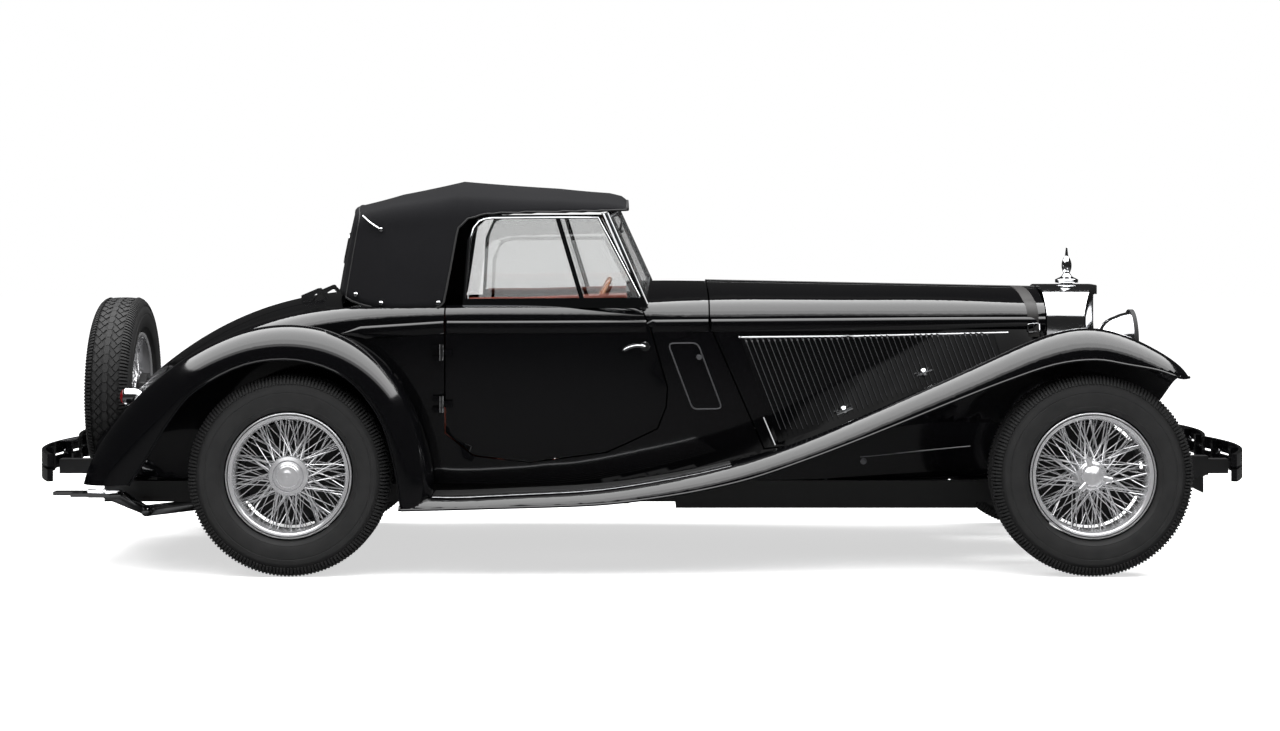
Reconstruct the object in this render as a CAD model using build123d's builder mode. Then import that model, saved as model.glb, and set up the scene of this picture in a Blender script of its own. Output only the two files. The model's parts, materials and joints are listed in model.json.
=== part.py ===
"""Open two-seat touring car of the 1930s with a fabric hood: bodywork, chassis, wheels and moving panels.

Frame: +X forward, +Y to the car's left, +Z up, millimetres. The origin is on the ground, under the
middle of the overall length. The right-hand side of the car is at -Y.
"""

import os
from math import cos, pi, radians, sin

from build123d import *

# ---- driving dimensions ------------------------------------------------------------------------
wheelbase = 2980
front_axle_x = 1670
rear_axle_x = front_axle_x - wheelbase
half_track = 752
tyre_radius = 376
tyre_width = 182
rim_radius = 234
bead_radius = 218
axle_z = tyre_radius  # wheels stand on the ground

king_pin_y = 632
stub_radius = 20
running_fit = 0.1  # radial play of wheel hubs and king pins
shut_gap = 6  # between doors, lids and the fixed body

scuttle_x = 254  # where the bonnet ends and the scuttle begins
radiator_back_x = 1585
wall = 38  # thickness of doors and body sides
bonnet_wall = 12
arch_centre_z = 364  # the rear wing is drawn about this point over the axle

os.makedirs("parts", exist_ok=True)


def save(builder, name):
    """Labels a finished piece and writes it as its own STEP file."""
    builder.part.label = name
    export_step(builder.part, f"parts/{name}.step")
    print(name, len(builder.part.solids()), "solids", round(builder.part.volume), "mm3", flush=True)


def cross_plane(x):
    """Plane across the car at x: local x is +Y and local y is +Z."""
    return Plane(origin=(x, 0, 0), x_dir=(0, 1, 0), z_dir=(1, 0, 0))


def side_plane(y):
    """Upright plane along the car at y: local x is +X and local y is +Z."""
    return Plane(origin=(0, y, 0), x_dir=(1, 0, 0), z_dir=(0, -1, 0))


def box_between(low, high, mode=Mode.ADD):
    """Box from its lowest to its highest corner, in the builder that is open."""
    size = [b - a for a, b in zip(low, high)]
    with Locations(tuple((a + b) / 2 for a, b in zip(low, high))):
        return Box(*size, mode=mode)


def side_prism(points, y_low, y_high, radius=0):
    """Side-view outline extruded across the car, with its corners rounded."""
    with BuildPart() as prism:
        with BuildSketch(side_plane(y_high)) as outline:
            with BuildLine():
                Polyline(*points, close=True)
            make_face()
            if radius:
                fillet(outline.vertices(), radius)
        extrude(amount=y_high - y_low)
    return prism.part


def rod(start, end, radius):
    """Round bar between two points, as a loose part."""
    a, b = Vector(*start), Vector(*end)
    return Solid.make_cylinder(radius, (b - a).length, Plane(origin=a, z_dir=b - a))


# ---- the body's outer form ---------------------------------------------------------------------
# x, half width at the belt, half width at the floor, floor z, belt z, shoulder half width,
# shoulder z, crown z
BODY_STATIONS = [
    (1600, 290, 268, 322, 922, 205, 1006, 1049),
    (1250, 346, 324, 322, 927, 252, 1013, 1057),
    (900, 404, 382, 322, 932, 303, 1018, 1064),
    (575, 466, 441, 322, 935, 359, 1021, 1070),
    (254, 528, 498, 322, 938, 418, 1021, 1076),
    (-80, 602, 560, 322, 942, 530, 1008, 1076),
    (-420, 648, 600, 322, 944, 600, 1002, 1062),
    (-780, 660, 606, 322, 942, 610, 1000, 1050),
    (-1160, 644, 572, 322, 926, 552, 988, 1038),
    (-1500, 594, 512, 324, 852, 466, 914, 974),
    (-1780, 526, 448, 328, 708, 378, 774, 840),
    (-1990, 458, 392, 336, 556, 312, 614, 676),
    (-2115, 402, 350, 350, 440, 262, 484, 532),
]


def body_section(x, inset):
    """Sketch of one body station, drawn inside its outline by the inset."""
    row = next(r for r in BODY_STATIONS if r[0] == x)
    _, belt_y, floor_y, floor_z, belt_z, shoulder_y, shoulder_z, crown_z = row
    belt_y, floor_y, shoulder_y = belt_y - inset, floor_y - inset, shoulder_y - 0.8 * inset
    floor_z += inset
    belt_z -= 0.4 * inset
    shoulder_z, crown_z = shoulder_z - 0.9 * inset, crown_z - inset
    side_mid = (belt_y - 0.22 * (belt_y - floor_y), (floor_z + belt_z) / 2)
    shoulder_mid = (
        shoulder_y + 0.72 * (belt_y - shoulder_y),
        belt_z + 0.70 * (shoulder_z - belt_z),
    )
    with BuildSketch(cross_plane(x)) as section:
        with BuildLine():
            Line((-floor_y, floor_z), (floor_y, floor_z))
            ThreePointArc((floor_y, floor_z), side_mid, (belt_y, belt_z))
            ThreePointArc((belt_y, belt_z), shoulder_mid, (shoulder_y, shoulder_z))
            ThreePointArc((shoulder_y, shoulder_z), (0, crown_z), (-shoulder_y, shoulder_z))
            ThreePointArc((-shoulder_y, shoulder_z), (-shoulder_mid[0], shoulder_mid[1]), (-belt_y, belt_z))
            ThreePointArc((-belt_y, belt_z), (-side_mid[0], side_mid[1]), (-floor_y, floor_z))
        make_face()
    return section.sketch


def body_form(inset):
    """The whole body from radiator to tail as one solid, inset from its outer skin."""
    with BuildPart() as form:
        loft([body_section(row[0], inset) for row in BODY_STATIONS])
    return form.part



def lining(inset, stations):
    """Plain inner form of the body, at least the inset inside its skin, between the given stations."""
    sections = []
    for x, belt_y, floor_y, floor_z, belt_z, shoulder_y, shoulder_z, crown_z in BODY_STATIONS:
        if x not in stations:
            continue
        half = [
            (floor_y - inset, floor_z - 20),
            (belt_y - inset - 0.25 * (belt_y - floor_y), (floor_z + belt_z) / 2),
            (belt_y - inset, belt_z - 0.4 * inset),
            (shoulder_y - 0.6 * inset, shoulder_z - inset),
            (0.5 * shoulder_y, crown_z - inset - 0.26 * (crown_z - shoulder_z)),
            (0.01 * shoulder_y, crown_z - inset),
        ]
        with BuildSketch(cross_plane(x)) as section:
            with BuildLine():
                Polyline(*half, *[(-y, z) for y, z in reversed(half)], close=True)
            make_face()
        sections.append(section.sketch)
    with BuildPart() as form:
        loft(sections, ruled=True)
    return form.part


def slab(low, high):
    """Loose box between two corners, for cutting."""
    with BuildPart() as block:
        box_between(low, high)
    return block.part


def largest(part):
    """The biggest solid of a cut piece, leaving out what was cut loose inside."""
    return part.solids().sort_by(SortBy.VOLUME)[-1]


def mirrored(part):
    """The same piece on the other side of the car."""
    return mirror(part, about=Plane.XZ)


def save_pair(part, name):
    """Writes a piece of the left side and its mirror image on the right."""
    for side, shape in (("left", part), ("right", mirrored(part))):
        with BuildPart() as piece:
            add(shape)
        save(piece, f"{name}_{side}")


def save_both(part, name):
    """Writes a piece and its mirror image on the other side as one node of two solids."""
    for_right = mirrored(part)
    with BuildPart() as pair:
        add(part)
        add(for_right)
    save(pair, name)


outer_form = body_form(0)

# ---- outlines in side view -----------------------------------------------------------------------
door_outline = [(-741, 1090), (-741, 521), (-634, 432), (-428, 409), (-134, 444), (62, 530), (95, 612),
                (99, 685), (75, 759), (30, 906), (-10, 1000), (-22, 1090)]
cockpit_plan = [(-62, 495), (-450, 597), (-780, 606), (-1146, 545)]
boot_plan = [(-1290, 330), (-2012, 330)]  # at the height of the lid's front edge, x and half width
lid_front_z = 1010

# The joint between scuttle and bonnet is upright above the belt and slants forward below it.
joint_top_z = 925
joint_foot = (465, 446)
bonnet_low = [joint_foot, (560, 455), (1600, 805)]


def plan_prism(half_plan, z_low, z_high):
    """Plan outline given by its left half, extruded upwards."""
    points = [(x, y) for x, y in half_plan] + [(x, -y) for x, y in reversed(half_plan)]
    with BuildPart() as prism:
        with BuildSketch(Plane.XY.offset(z_low)):
            with BuildLine():
                Polyline(*points, close=True)
            make_face()
        extrude(amount=z_high - z_low)
    return prism.part


def grown_prism(points, y_low, y_high, grow):
    """Side-view outline grown evenly by a gap and extruded across the car."""
    with BuildPart() as prism:
        with BuildSketch(side_plane(y_high)):
            with BuildLine():
                Polyline(*points, close=True)
            make_face()
            if grow:
                offset(amount=grow, kind=Kind.INTERSECTION)
        extrude(amount=y_high - y_low)
    return prism.part


# ---- tub, doors and boot lid ---------------------------------------------------------------------
tail_solid_x = -1950
pocket_x = -1988
pocket_radius = 396
spare_z = 635
cabin_lining = lining(wall, (1600, 900, 254, -80, -420, -780, -1160, -1500, -1780, -1990))
cabin_space = cabin_lining & slab((tail_solid_x, -700, 0), (700, 700, 1200))
cockpit_cut = plan_prism(cockpit_plan, 700, 1200)
door_bevel = 0.3  # x lost for each millimetre inwards along the door's front edge, so that it swings clear
door_front_y = 575  # where the door's front edge has the outline's own x
hinge_side_reach = 200  # the bevelled outline runs past the hinge side, which stays square
side_reach_y = 800


def door_region(gap):
    """Prism through the body's left side for the door, grown by a gap, with its front edge bevelled."""
    shift = door_bevel * (side_reach_y - door_front_y)
    bevelled = [(x + shift - (hinge_side_reach if x < -700 else 0), z) for x, z in door_outline]
    with BuildPart() as region:
        add(grown_prism(door_outline, 300, side_reach_y, gap))
        with BuildSketch(side_plane(side_reach_y)):
            with BuildLine():
                Polyline(*bevelled, close=True)
            make_face()
            if gap:
                offset(amount=gap, kind=Kind.INTERSECTION)
        extrude(amount=600, dir=(-door_bevel, -1, 0), mode=Mode.INTERSECT)
    return region.part


lid_bevel = 0.6  # x gained for each millimetre downwards, so that the lid's rear edge lifts clear


def lid_region(gap):
    """Leaning prism through the tail for the boot lid, grown by a gap."""
    (front_x, half_width), (rear_x, _) = boot_plan
    with BuildPart() as region:
        with BuildSketch(Plane.XY.offset(lid_front_z)):
            with Locations(((front_x + rear_x) / 2, 0)):
                Rectangle(front_x - rear_x + 2 * gap, 2 * (half_width + gap))
        extrude(amount=440, dir=(lid_bevel, 0, -1))
        extrude(region.faces().sort_by(Axis.Z)[-1], amount=120, dir=(-lid_bevel, 0, 1))
    return region.part


door_hole = door_region(shut_gap)
rail_ends = [slab((-2130, y - 4, 290), (-2030, y + 54, 406)) for y in (-434, 384)]

bonnet_room = side_prism([(scuttle_x, 1200), (scuttle_x, joint_top_z), joint_foot, (joint_foot[0], 0), (1700, 0),
                          (1700, 1200)], -700, 700)
axle_room = slab((rear_axle_x - 70, -700, 300), (rear_axle_x + 70, 700, 450))
spare_pocket = rod((pocket_x, 0, spare_z), (pocket_x - 200, 0, spare_z), pocket_radius)

with BuildPart() as body_shell:
    add(outer_form)
    add([bonnet_room, cabin_space, cockpit_cut, door_hole, mirrored(door_hole), lid_region(shut_gap), axle_room,
         spare_pocket, *rail_ends], mode=Mode.SUBTRACT)
save(body_shell, "body_shell")

with BuildPart() as door:
    add(outer_form)
    add(door_region(0), mode=Mode.INTERSECT)
    add(cabin_space, mode=Mode.SUBTRACT)
    add(cockpit_cut, mode=Mode.SUBTRACT)
save_pair(door.part, "door")

with BuildPart() as boot_lid:
    add(outer_form)
    add(lid_region(0), mode=Mode.INTERSECT)
    add(cabin_space, mode=Mode.SUBTRACT)
save(boot_lid, "boot_lid")

# ---- hinges and handles ---------------------------------------------------------------------------
door_hinge_x, door_hinge_y = -754.5, 680
hinge_radius = 9
knuckle_gap = 1.5
door_hinges_z = (825, 630)  # middle of the upper and the lower hinge
moving_knuckle, fixed_knuckle = 22, 18  # their heights
leaf_low_y, leaf_high_y = 664, 672  # the leaves pass this far out, clear of the door's rear edge
handle_place = (11, 842)


def hinge_knuckle(z, height, leaf_x):
    """Barrel about the door's axis with a leaf that bends in to the skin at leaf_x."""
    low, high = sorted((leaf_x, leaf_x + (16 if leaf_x > door_hinge_x else -16)))
    with BuildPart() as knuckle_piece:
        with Locations((door_hinge_x, door_hinge_y, z)):
            Cylinder(hinge_radius, height)
        z_low, z_high = z - height / 2, z + height / 2
        box_between((min(low, door_hinge_x), leaf_low_y, z_low),
                    (max(high, door_hinge_x), leaf_high_y, z_high))
        box_between((low, 600, z_low), (high, leaf_high_y, z_high))
        add(outer_form, mode=Mode.SUBTRACT)
    return outermost(knuckle_piece.part)


def outermost(part):
    """The solid furthest out to the left, where a skin has cut a piece in two."""
    return part.solids().sort_by(Axis.Y)[-1]


with BuildPart() as door_handle:
    add(rod((handle_place[0], 540, handle_place[1]), (handle_place[0], 590, handle_place[1]), 17))
    add(rod((handle_place[0], 560, handle_place[1]), (handle_place[0], 614, handle_place[1]), 8))
    with BuildLine():
        lever = ThreePointArc((handle_place[0], 610, handle_place[1]), (-28, 612, 845), (-68, 606, 829))
    with BuildSketch(Plane(origin=lever @ 0, z_dir=lever % 0)):
        Circle(6)
    sweep()
    add(outer_form, mode=Mode.SUBTRACT)

with BuildPart() as door_fittings:
    add(outermost(door_handle.part))
    for z in door_hinges_z:
        add(hinge_knuckle(z, moving_knuckle, door_hinge_x + 24))
save_pair(door_fittings.part, "door_fittings")

knuckle_step = (moving_knuckle + fixed_knuckle) / 2 + knuckle_gap
lid_hinge_x, lid_hinge_z = -1270, 1045
fixed_leg = [(-1279, 1049), (-1266, 1054), (-1228, 1018), (-1228, 960), (-1256, 960), (-1256, 1024)]
lid_leg = [(-1274, 1036), (-1262, 1040), (-1274, 1054), (-1340, 1026), (-1340, 940), (-1300, 940),
           (-1298, 1022)]


def lid_hinge(outline, y_low):
    """Barrel across the car about the boot lid's axis, with the leg of this outline down to the skin."""
    with BuildPart() as hinge:
        y_high = y_low + fixed_knuckle
        add(rod((lid_hinge_x, y_low, lid_hinge_z), (lid_hinge_x, y_high, lid_hinge_z), hinge_radius))
        add(side_prism(outline, y_low, y_high))
        add(outer_form, mode=Mode.SUBTRACT)
    return hinge.part.solids().sort_by(Axis.Z)[-1]


with BuildPart() as body_hinges:
    for z in door_hinges_z:
        for step in (-knuckle_step, knuckle_step):
            add(hinge_knuckle(z + step, fixed_knuckle, door_hinge_x - 20))
    add(lid_hinge(fixed_leg, 210))
save_both(body_hinges.part, "body_hinges")

with BuildPart() as lid_hinges:
    add(lid_hinge(lid_leg, 210 + fixed_knuckle + knuckle_gap))
save_both(lid_hinges.part, "boot_lid_hinges")

# floor, bulkhead behind the seats and boot floor, in one pressing
floor_z = 324
bulkhead_x = -1150
boot_floor_z = 450
floor_front_x = scuttle_x - 34
with BuildPart() as pressing:
    box_between((bulkhead_x, -700, floor_z), (floor_front_x, 700, floor_z + 14))
    box_between((bulkhead_x - 24, -700, floor_z), (bulkhead_x, 700, 970))
    box_between((tail_solid_x, -700, boot_floor_z), (bulkhead_x, 700, boot_floor_z + 12))
    add(cabin_lining, mode=Mode.INTERSECT)
save(pressing, "floor_pan")

with BuildPart() as firewall:
    box_between((floor_front_x, -700, floor_z), (floor_front_x + 12, 700, 1200))
    add(cabin_lining, mode=Mode.INTERSECT)
save(firewall, "firewall")

# ---- bonnet: two halves hinged on the centre line, with slanted louvres in the sides -------------
rail_half_width = 3
bonnet_front_x = 1579
bonnet_stations = (1600, 900, 254)
bonnet_lining = lining(bonnet_wall, bonnet_stations)
bonnet_slope = (bonnet_low[2][1] - bonnet_low[1][1]) / (bonnet_low[2][0] - bonnet_low[1][0])


def bonnet_edge_z(x):
    """Height of the bonnet's lower edge at x, along its rising run."""
    return bonnet_low[1][1] + bonnet_slope * (x - bonnet_low[1][0])


def bonnet_side(y_low):
    """Side-view prism of the opening part of the bonnet, on the left."""
    points = [(scuttle_x + shut_gap, 1200), (scuttle_x + shut_gap, joint_top_z),
              (joint_foot[0] + shut_gap, joint_foot[1]), bonnet_low[1],
              (bonnet_front_x, bonnet_edge_z(bonnet_front_x)), (bonnet_front_x, 1200)]
    return grown_prism(points, y_low, 800, 0)


# The louvres stand on a pressed flat panel let into the bonnet's side. They lean like the windscreen
# pillar and end just above the bonnet's rising lower edge.
louvre_count = 44
louvre_pitch = 22
louvre_width = 9
louvre_height = 6  # proud of their panel
louvre_lean = 0.39  # x gained for each z lost
louvre_start = (392, 868)  # top of the rearmost louvre
louvre_rise = 0.0175  # the row of tops climbs towards the front
louvre_margin = 34  # from the lower end of a louvre to the bonnet's edge
panel_side, panel_above, panel_below = 18, 12, 16  # the panel's border round the louvres
panel_proud = 3.5  # of the mean plane of the bonnet's side
side_at_origin, side_per_x, side_per_z = 534.3, -0.18032, 0.0457  # that plane: half width from x and z


def on_side(x, z):
    """Point of the bonnet side's mean plane."""
    return Vector(x, side_at_origin + side_per_x * x + side_per_z * z, z)


panel_plane = Plane(origin=on_side(*louvre_start), x_dir=(1, side_per_x, 0),
                    z_dir=(-side_per_x, 1, -side_per_z))


def louvre_outline(index):
    """Side-view corners of one leaning louvre, counted from the rear."""
    top_x = louvre_start[0] + index * louvre_pitch
    top_z = louvre_start[1] + louvre_rise * (top_x - louvre_start[0])
    low_z = (bonnet_edge_z(top_x + louvre_lean * top_z) + louvre_margin) / (1 + bonnet_slope * louvre_lean)
    low_x = top_x + louvre_lean * (top_z - low_z)
    return [(top_x, top_z), (low_x, low_z), (low_x + louvre_width, low_z), (top_x + louvre_width, top_z)]


def louvre_panel_outline():
    """Corners of the panel, a border outside the first and the last louvre."""
    first, last = louvre_outline(0), louvre_outline(louvre_count - 1)
    return [(first[0][0] - panel_side, first[0][1] + panel_above),
            (first[1][0] - panel_side, first[1][1] - panel_below),
            (last[2][0] + panel_side, last[2][1] - panel_below),
            (last[3][0] + panel_side, last[3][1] + panel_above)]


def panel_prism(outlines, low, high):
    """Side-view outlines drawn on the panel's plane and extruded between two distances from it."""
    with BuildPart() as prism:
        with BuildSketch(panel_plane.offset(low)):
            for outline in outlines:
                local = [panel_plane.to_local_coords(on_side(x, z)) for x, z in outline]
                with BuildLine():
                    Polyline(*[(point.X, point.Y) for point in local], close=True)
                make_face()
        extrude(amount=high - low)
    return prism.part


with BuildPart() as louvre_panel:
    add(panel_prism([louvre_panel_outline()], -bonnet_wall, panel_proud))
    add(panel_prism([louvre_outline(index) for index in range(louvre_count)], 0, panel_proud + louvre_height))

with BuildPart() as bonnet:
    add(outer_form)
    add(bonnet_side(rail_half_width + 6), mode=Mode.INTERSECT)
    add([bonnet_lining, panel_prism([louvre_panel_outline()], -60, 60)], mode=Mode.SUBTRACT)
    add(louvre_panel.part)
save_pair(largest(bonnet.part), "bonnet")

hinge_line = ((scuttle_x, 0, 1079), (1582, 0, 1052.3))
hinge_rod_radius = 4
with BuildPart() as hinge_rail:
    add(side_prism([(scuttle_x, 1062), (scuttle_x, 1079), (1582, 1052.3), (1582, 1036)],
                   -rail_half_width, rail_half_width))
    add(rod(*hinge_line, hinge_rod_radius))
save(hinge_rail, "bonnet_hinge_rail")

with BuildPart() as sill:
    add(outer_form)
    with BuildSketch(side_plane(700)):
        with BuildLine():
            Polyline(*[(x, z - shut_gap) for x, z in bonnet_low], (1600, 322), (joint_foot[0], 322),
                     close=True)
        make_face()
    extrude(amount=700, mode=Mode.INTERSECT)
    add(bonnet_lining, mode=Mode.SUBTRACT)
    box_between((1585, -700, 0), (1700, 700, 1200), mode=Mode.SUBTRACT)
save_both(largest(sill.part), "bonnet_sills")

# ---- wings ---------------------------------------------------------------------------------------
# Front wing and running board. Each row is one cross section: x, then half width and height of
# the lip, of the crown, of the middle of the inner slope and of the inner edge.
FRONT_WING = [
    (2024, 838, 738, 748, 748, 668, 742, 612, 728),
    (1985, 858, 748, 748, 790, 606, 740, 500, 640),
    (1900, 868, 766, 746, 846, 572, 738, 444, 560),
    (1790, 870, 786, 745, 897, 562, 762, 430, 540),
    (1670, 870, 804, 745, 920, 560, 785, 430, 530),
    (1520, 870, 786, 745, 897, 558, 775, 428, 530),
    (1335, 870, 724, 745, 822, 556, 722, 410, 545),
    (1148, 870, 651, 748, 737, 560, 660, 390, 545),
    (962, 870, 575, 752, 655, 570, 604, 380, 522),
    (775, 870, 500, 756, 573, 590, 541, 390, 484),
    (589, 870, 430, 760, 498, 610, 482, 412, 442),
    (402, 870, 367, 764, 434, 640, 429, 446, 404),
    (216, 870, 323, 768, 386, 650, 384, 452, 364),
    (29, 870, 292, 774, 350, 660, 350, 446, 334),
    (-157, 870, 272, 780, 322, 670, 325, 446, 310),
    (-344, 870, 264, 784, 309, 670, 313, 446, 299),
    (-530, 870, 259, 786, 300, 670, 305, 446, 292),
    (-715, 870, 254, 786, 293, 670, 298, 446, 286),
    (-900, 870, 250, 786, 288, 670, 293, 446, 281),
]
wing_thickness = 7
wing_joint_gap = 1.5  # between the running board and the rear wing


def wing_section(plane, row, thickness, filled_to=None):
    """One section of a wing: an arc from lip to crown and one down to the inner edge."""
    lip, crown, middle, end = (row[1], row[2]), (row[3], row[4]), (row[5], row[6]), (row[7], row[8])
    turn = 0.72  # where the outer arc bulges between lip and crown
    bulge = (crown[0] + turn * (lip[0] - crown[0]), lip[1] + turn * (crown[1] - lip[1]))
    t = thickness
    with BuildSketch(plane) as section:
        with BuildLine():
            ThreePointArc(lip, bulge, crown)
            ThreePointArc(crown, middle, end)
            if filled_to is None:
                inner_lip = (lip[0] - t, lip[1])
                inner_bulge = (bulge[0] - 0.7 * t, bulge[1] - 0.7 * t)
                inner_crown, inner_end = (crown[0], crown[1] - t), (end[0], end[1] - t)
                Line(end, inner_end)
                ThreePointArc(inner_end, (middle[0] + 0.3 * t, middle[1] - 0.95 * t), inner_crown)
                ThreePointArc(inner_crown, inner_bulge, inner_lip)
                Line(inner_lip, lip)
            else:
                Polyline(end, (end[0], filled_to), (lip[0], filled_to), lip)
        make_face()
    return section.sketch


# Rear wing: sections on planes through the wheel's centre. Each row: angle above the forward
# direction, half width and radius of the lip, of the crown, of the inner slope's middle, inner edge.
REAR_WING = [
    (-13, 870, 432, 768, 532, 640, 530, 530, 520),
    (10, 870, 400, 764, 522, 640, 516, 530, 500),
    (35, 870, 412, 762, 530, 640, 518, 530, 494),
    (60, 870, 434, 760, 556, 640, 540, 520, 506),
    (85, 870, 441, 760, 568, 640, 550, 500, 506),
    (110, 870, 450, 760, 573, 640, 552, 470, 500),
    (135, 870, 470, 758, 600, 640, 572, 430, 500),
    (152, 868, 484, 754, 646, 630, 606, 390, 500),
    (165, 862, 506, 748, 698, 620, 650, 370, 520),
    (174, 852, 538, 742, 742, 610, 700, 370, 560),
    (182, 838, 590, 736, 778, 610, 742, 370, 620),
]


def radial_plane(angle):
    """Plane through the wheel axis: local x is +Y, local y points outwards at the angle."""
    a = radians(angle)
    return Plane(origin=(rear_axle_x, 0, arch_centre_z), x_dir=(0, 1, 0), z_dir=(sin(a), 0, -cos(a)))


def grown_row(row, grow):
    """A row of the rear wing moved outwards from the wheel."""
    angle, lip_y, lip_r, crown_y, crown_r, middle_y, middle_r, end_y, end_r = row
    return (angle, lip_y + grow, lip_r, crown_y, crown_r + grow, middle_y, middle_r + grow,
            end_y - grow, end_r + grow)


def rear_wing_form(filled_to=None, grow=0):
    """Rear wing of the left side, as a thin shell or filled in towards the axle."""
    rows = [grown_row(row, grow) for row in REAR_WING]
    with BuildPart() as wing:
        loft([wing_section(radial_plane(row[0]), row, wing_thickness, filled_to) for row in rows])
    return wing.part


rear_wing_filled = rear_wing_form(60, wing_joint_gap)
with BuildPart() as rear_wing:
    add(rear_wing_form())
    add(outer_form, mode=Mode.SUBTRACT)
save_pair(largest(rear_wing.part), "rear_wing")

with BuildPart() as front_wing:
    loft([wing_section(cross_plane(row[0]), row, wing_thickness) for row in FRONT_WING])
    add(outer_form, mode=Mode.SUBTRACT)
    add(rear_wing_filled, mode=Mode.SUBTRACT)
save_pair(largest(front_wing.part), "front_wing")

# ---- radiator, lamps and mascot -----------------------------------------------------------------
radiator_nose_x = 1834
radiator_side_x = 1722
radiator_inset = 34
grille_bars = 23
grille_pitch = 22
grille_bar_width = 6


def radiator_outline(inset):
    """Front outline of the radiator shell, a little proud of the bonnet."""
    half, low, shoulder, top = 296 - inset, 358 + inset, 960 - 0.6 * inset, 1057 - inset
    with BuildSketch(Plane.YZ.offset(bonnet_front_x + 6)) as outline:
        with BuildLine():
            Line((-half + 20, low), (half - 20, low))
            ThreePointArc((half - 20, low), (half + 2, (low + shoulder) / 2 + 30), (half - 6, shoulder))
            ThreePointArc((half - 6, shoulder), (0.70 * half, top - 32), (0, top))
            ThreePointArc((0, top), (-0.70 * half, top - 32), (-half + 6, shoulder))
            ThreePointArc((-half + 6, shoulder), (-half - 2, (low + shoulder) / 2 + 30), (-half + 20, low))
        make_face()
    return outline.sketch


def nose_prism(setback):
    """Pointed plan of the radiator, moved back by the setback."""
    nose, side = radiator_nose_x - setback, radiator_side_x - setback
    with BuildPart() as prism:
        with BuildSketch(Plane.XY):
            with BuildLine():
                Polyline((1500, 320), (side, 320), (nose, 0), (side, -320), (1500, -320), close=True)
            make_face()
        extrude(amount=1300)
    return prism.part


with BuildPart() as radiator_shell:
    extrude(radiator_outline(0), amount=260)
    add(nose_prism(0), mode=Mode.INTERSECT)
    extrude(radiator_outline(radiator_inset), amount=260, mode=Mode.SUBTRACT)
save(radiator_shell, "radiator_shell")

# upright bars stand in front of the radiator's core and follow its pointed plan
with BuildPart() as grille_slats:
    with BuildSketch(Plane.XY):
        with GridLocations(100, grille_pitch, 1, grille_bars):
            Rectangle(2 * radiator_nose_x, grille_bar_width)
    extrude(amount=1200)

with BuildPart() as grille_front:
    extrude(radiator_outline(radiator_inset), amount=260)
    add(nose_prism(14), mode=Mode.INTERSECT)
    add(grille_slats.part, mode=Mode.INTERSECT)
    box_between((1500, -330, 0), (1640, 330, 1200), mode=Mode.SUBTRACT)

with BuildPart() as radiator_grille:
    extrude(radiator_outline(radiator_inset), amount=260)
    add(nose_prism(26), mode=Mode.INTERSECT)
    box_between((1500, -330, 0), (1600, 330, 1200), mode=Mode.SUBTRACT)
    add(grille_front.part)
save(radiator_grille, "radiator_grille")

cap_x = 1712
with BuildPart() as radiator_cap:
    with BuildSketch(Plane(origin=(cap_x, 0, 0), x_dir=(1, 0, 0), z_dir=(0, -1, 0))):
        with BuildLine():
            Polyline((0, 1046), (24, 1046), (24, 1066), (46, 1070), (46, 1082), (22, 1094), (12, 1108))
            ThreePointArc((12, 1108), (20, 1140), (7, 1175))
            Polyline((7, 1175), (3, 1210), (0, 1210), (0, 1046))
        make_face()
    revolve(axis=Axis((cap_x, 0, 0), (0, 0, 1)))
    add(radiator_shell.part, mode=Mode.SUBTRACT)
with BuildPart() as radiator_cap_top:
    add(largest(radiator_cap.part))
save(radiator_cap_top, "radiator_cap")

lamp_y = 474
lamp_z = 853
lamp_rim_x = 1885
with BuildPart() as headlamp:
    with BuildSketch(Plane(origin=(0, lamp_y, lamp_z), x_dir=(1, 0, 0), z_dir=(0, -1, 0))):
        with BuildLine():
            ThreePointArc((1735, 0), (1762, 66), (1815, 100))
            ThreePointArc((1815, 100), (1842, 111), (1868, 116))
            Polyline((1868, 116), (1868, 124), (1885, 124), (1885, 112), (1864, 108), (1840, 0), (1735, 0))
        make_face()
    revolve(axis=Axis((0, lamp_y, lamp_z), (1, 0, 0)))
    add(rod((1690, 270, lamp_z - 30), (1790, lamp_y - 60, lamp_z - 4), 13))
    add(radiator_shell.part, mode=Mode.SUBTRACT)
save_both(largest(headlamp.part), "headlamps")

glass_dome_radius, glass_centre_x = 298, 1600
with BuildPart() as headlamp_glass:
    with BuildSketch(Plane(origin=(0, lamp_y, lamp_z), x_dir=(1, 0, 0), z_dir=(0, -1, 0))):
        with BuildLine():
            dome = CenterArc((glass_centre_x, 0), glass_dome_radius, 0, 21)
            edge = dome @ 1
            Polyline((edge.X, edge.Y), (1872, edge.Y), (1872, 0), (glass_centre_x + glass_dome_radius, 0))
        make_face()
    revolve(axis=Axis((0, lamp_y, lamp_z), (1, 0, 0)))
save_both(largest(headlamp_glass.part), "headlamp_glass")

# ---- windscreen, side windows and hood ------------------------------------------------------------
screen_pillar_base = (15, 575, 1003)
screen_pillar_top = (-138, 510, 1351)
screen_centre_top = (-93, 0, 1355)
screen_centre_base = (33.5, 0, 1078)
screen_frame_width = 17
glass_thickness = 5


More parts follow.
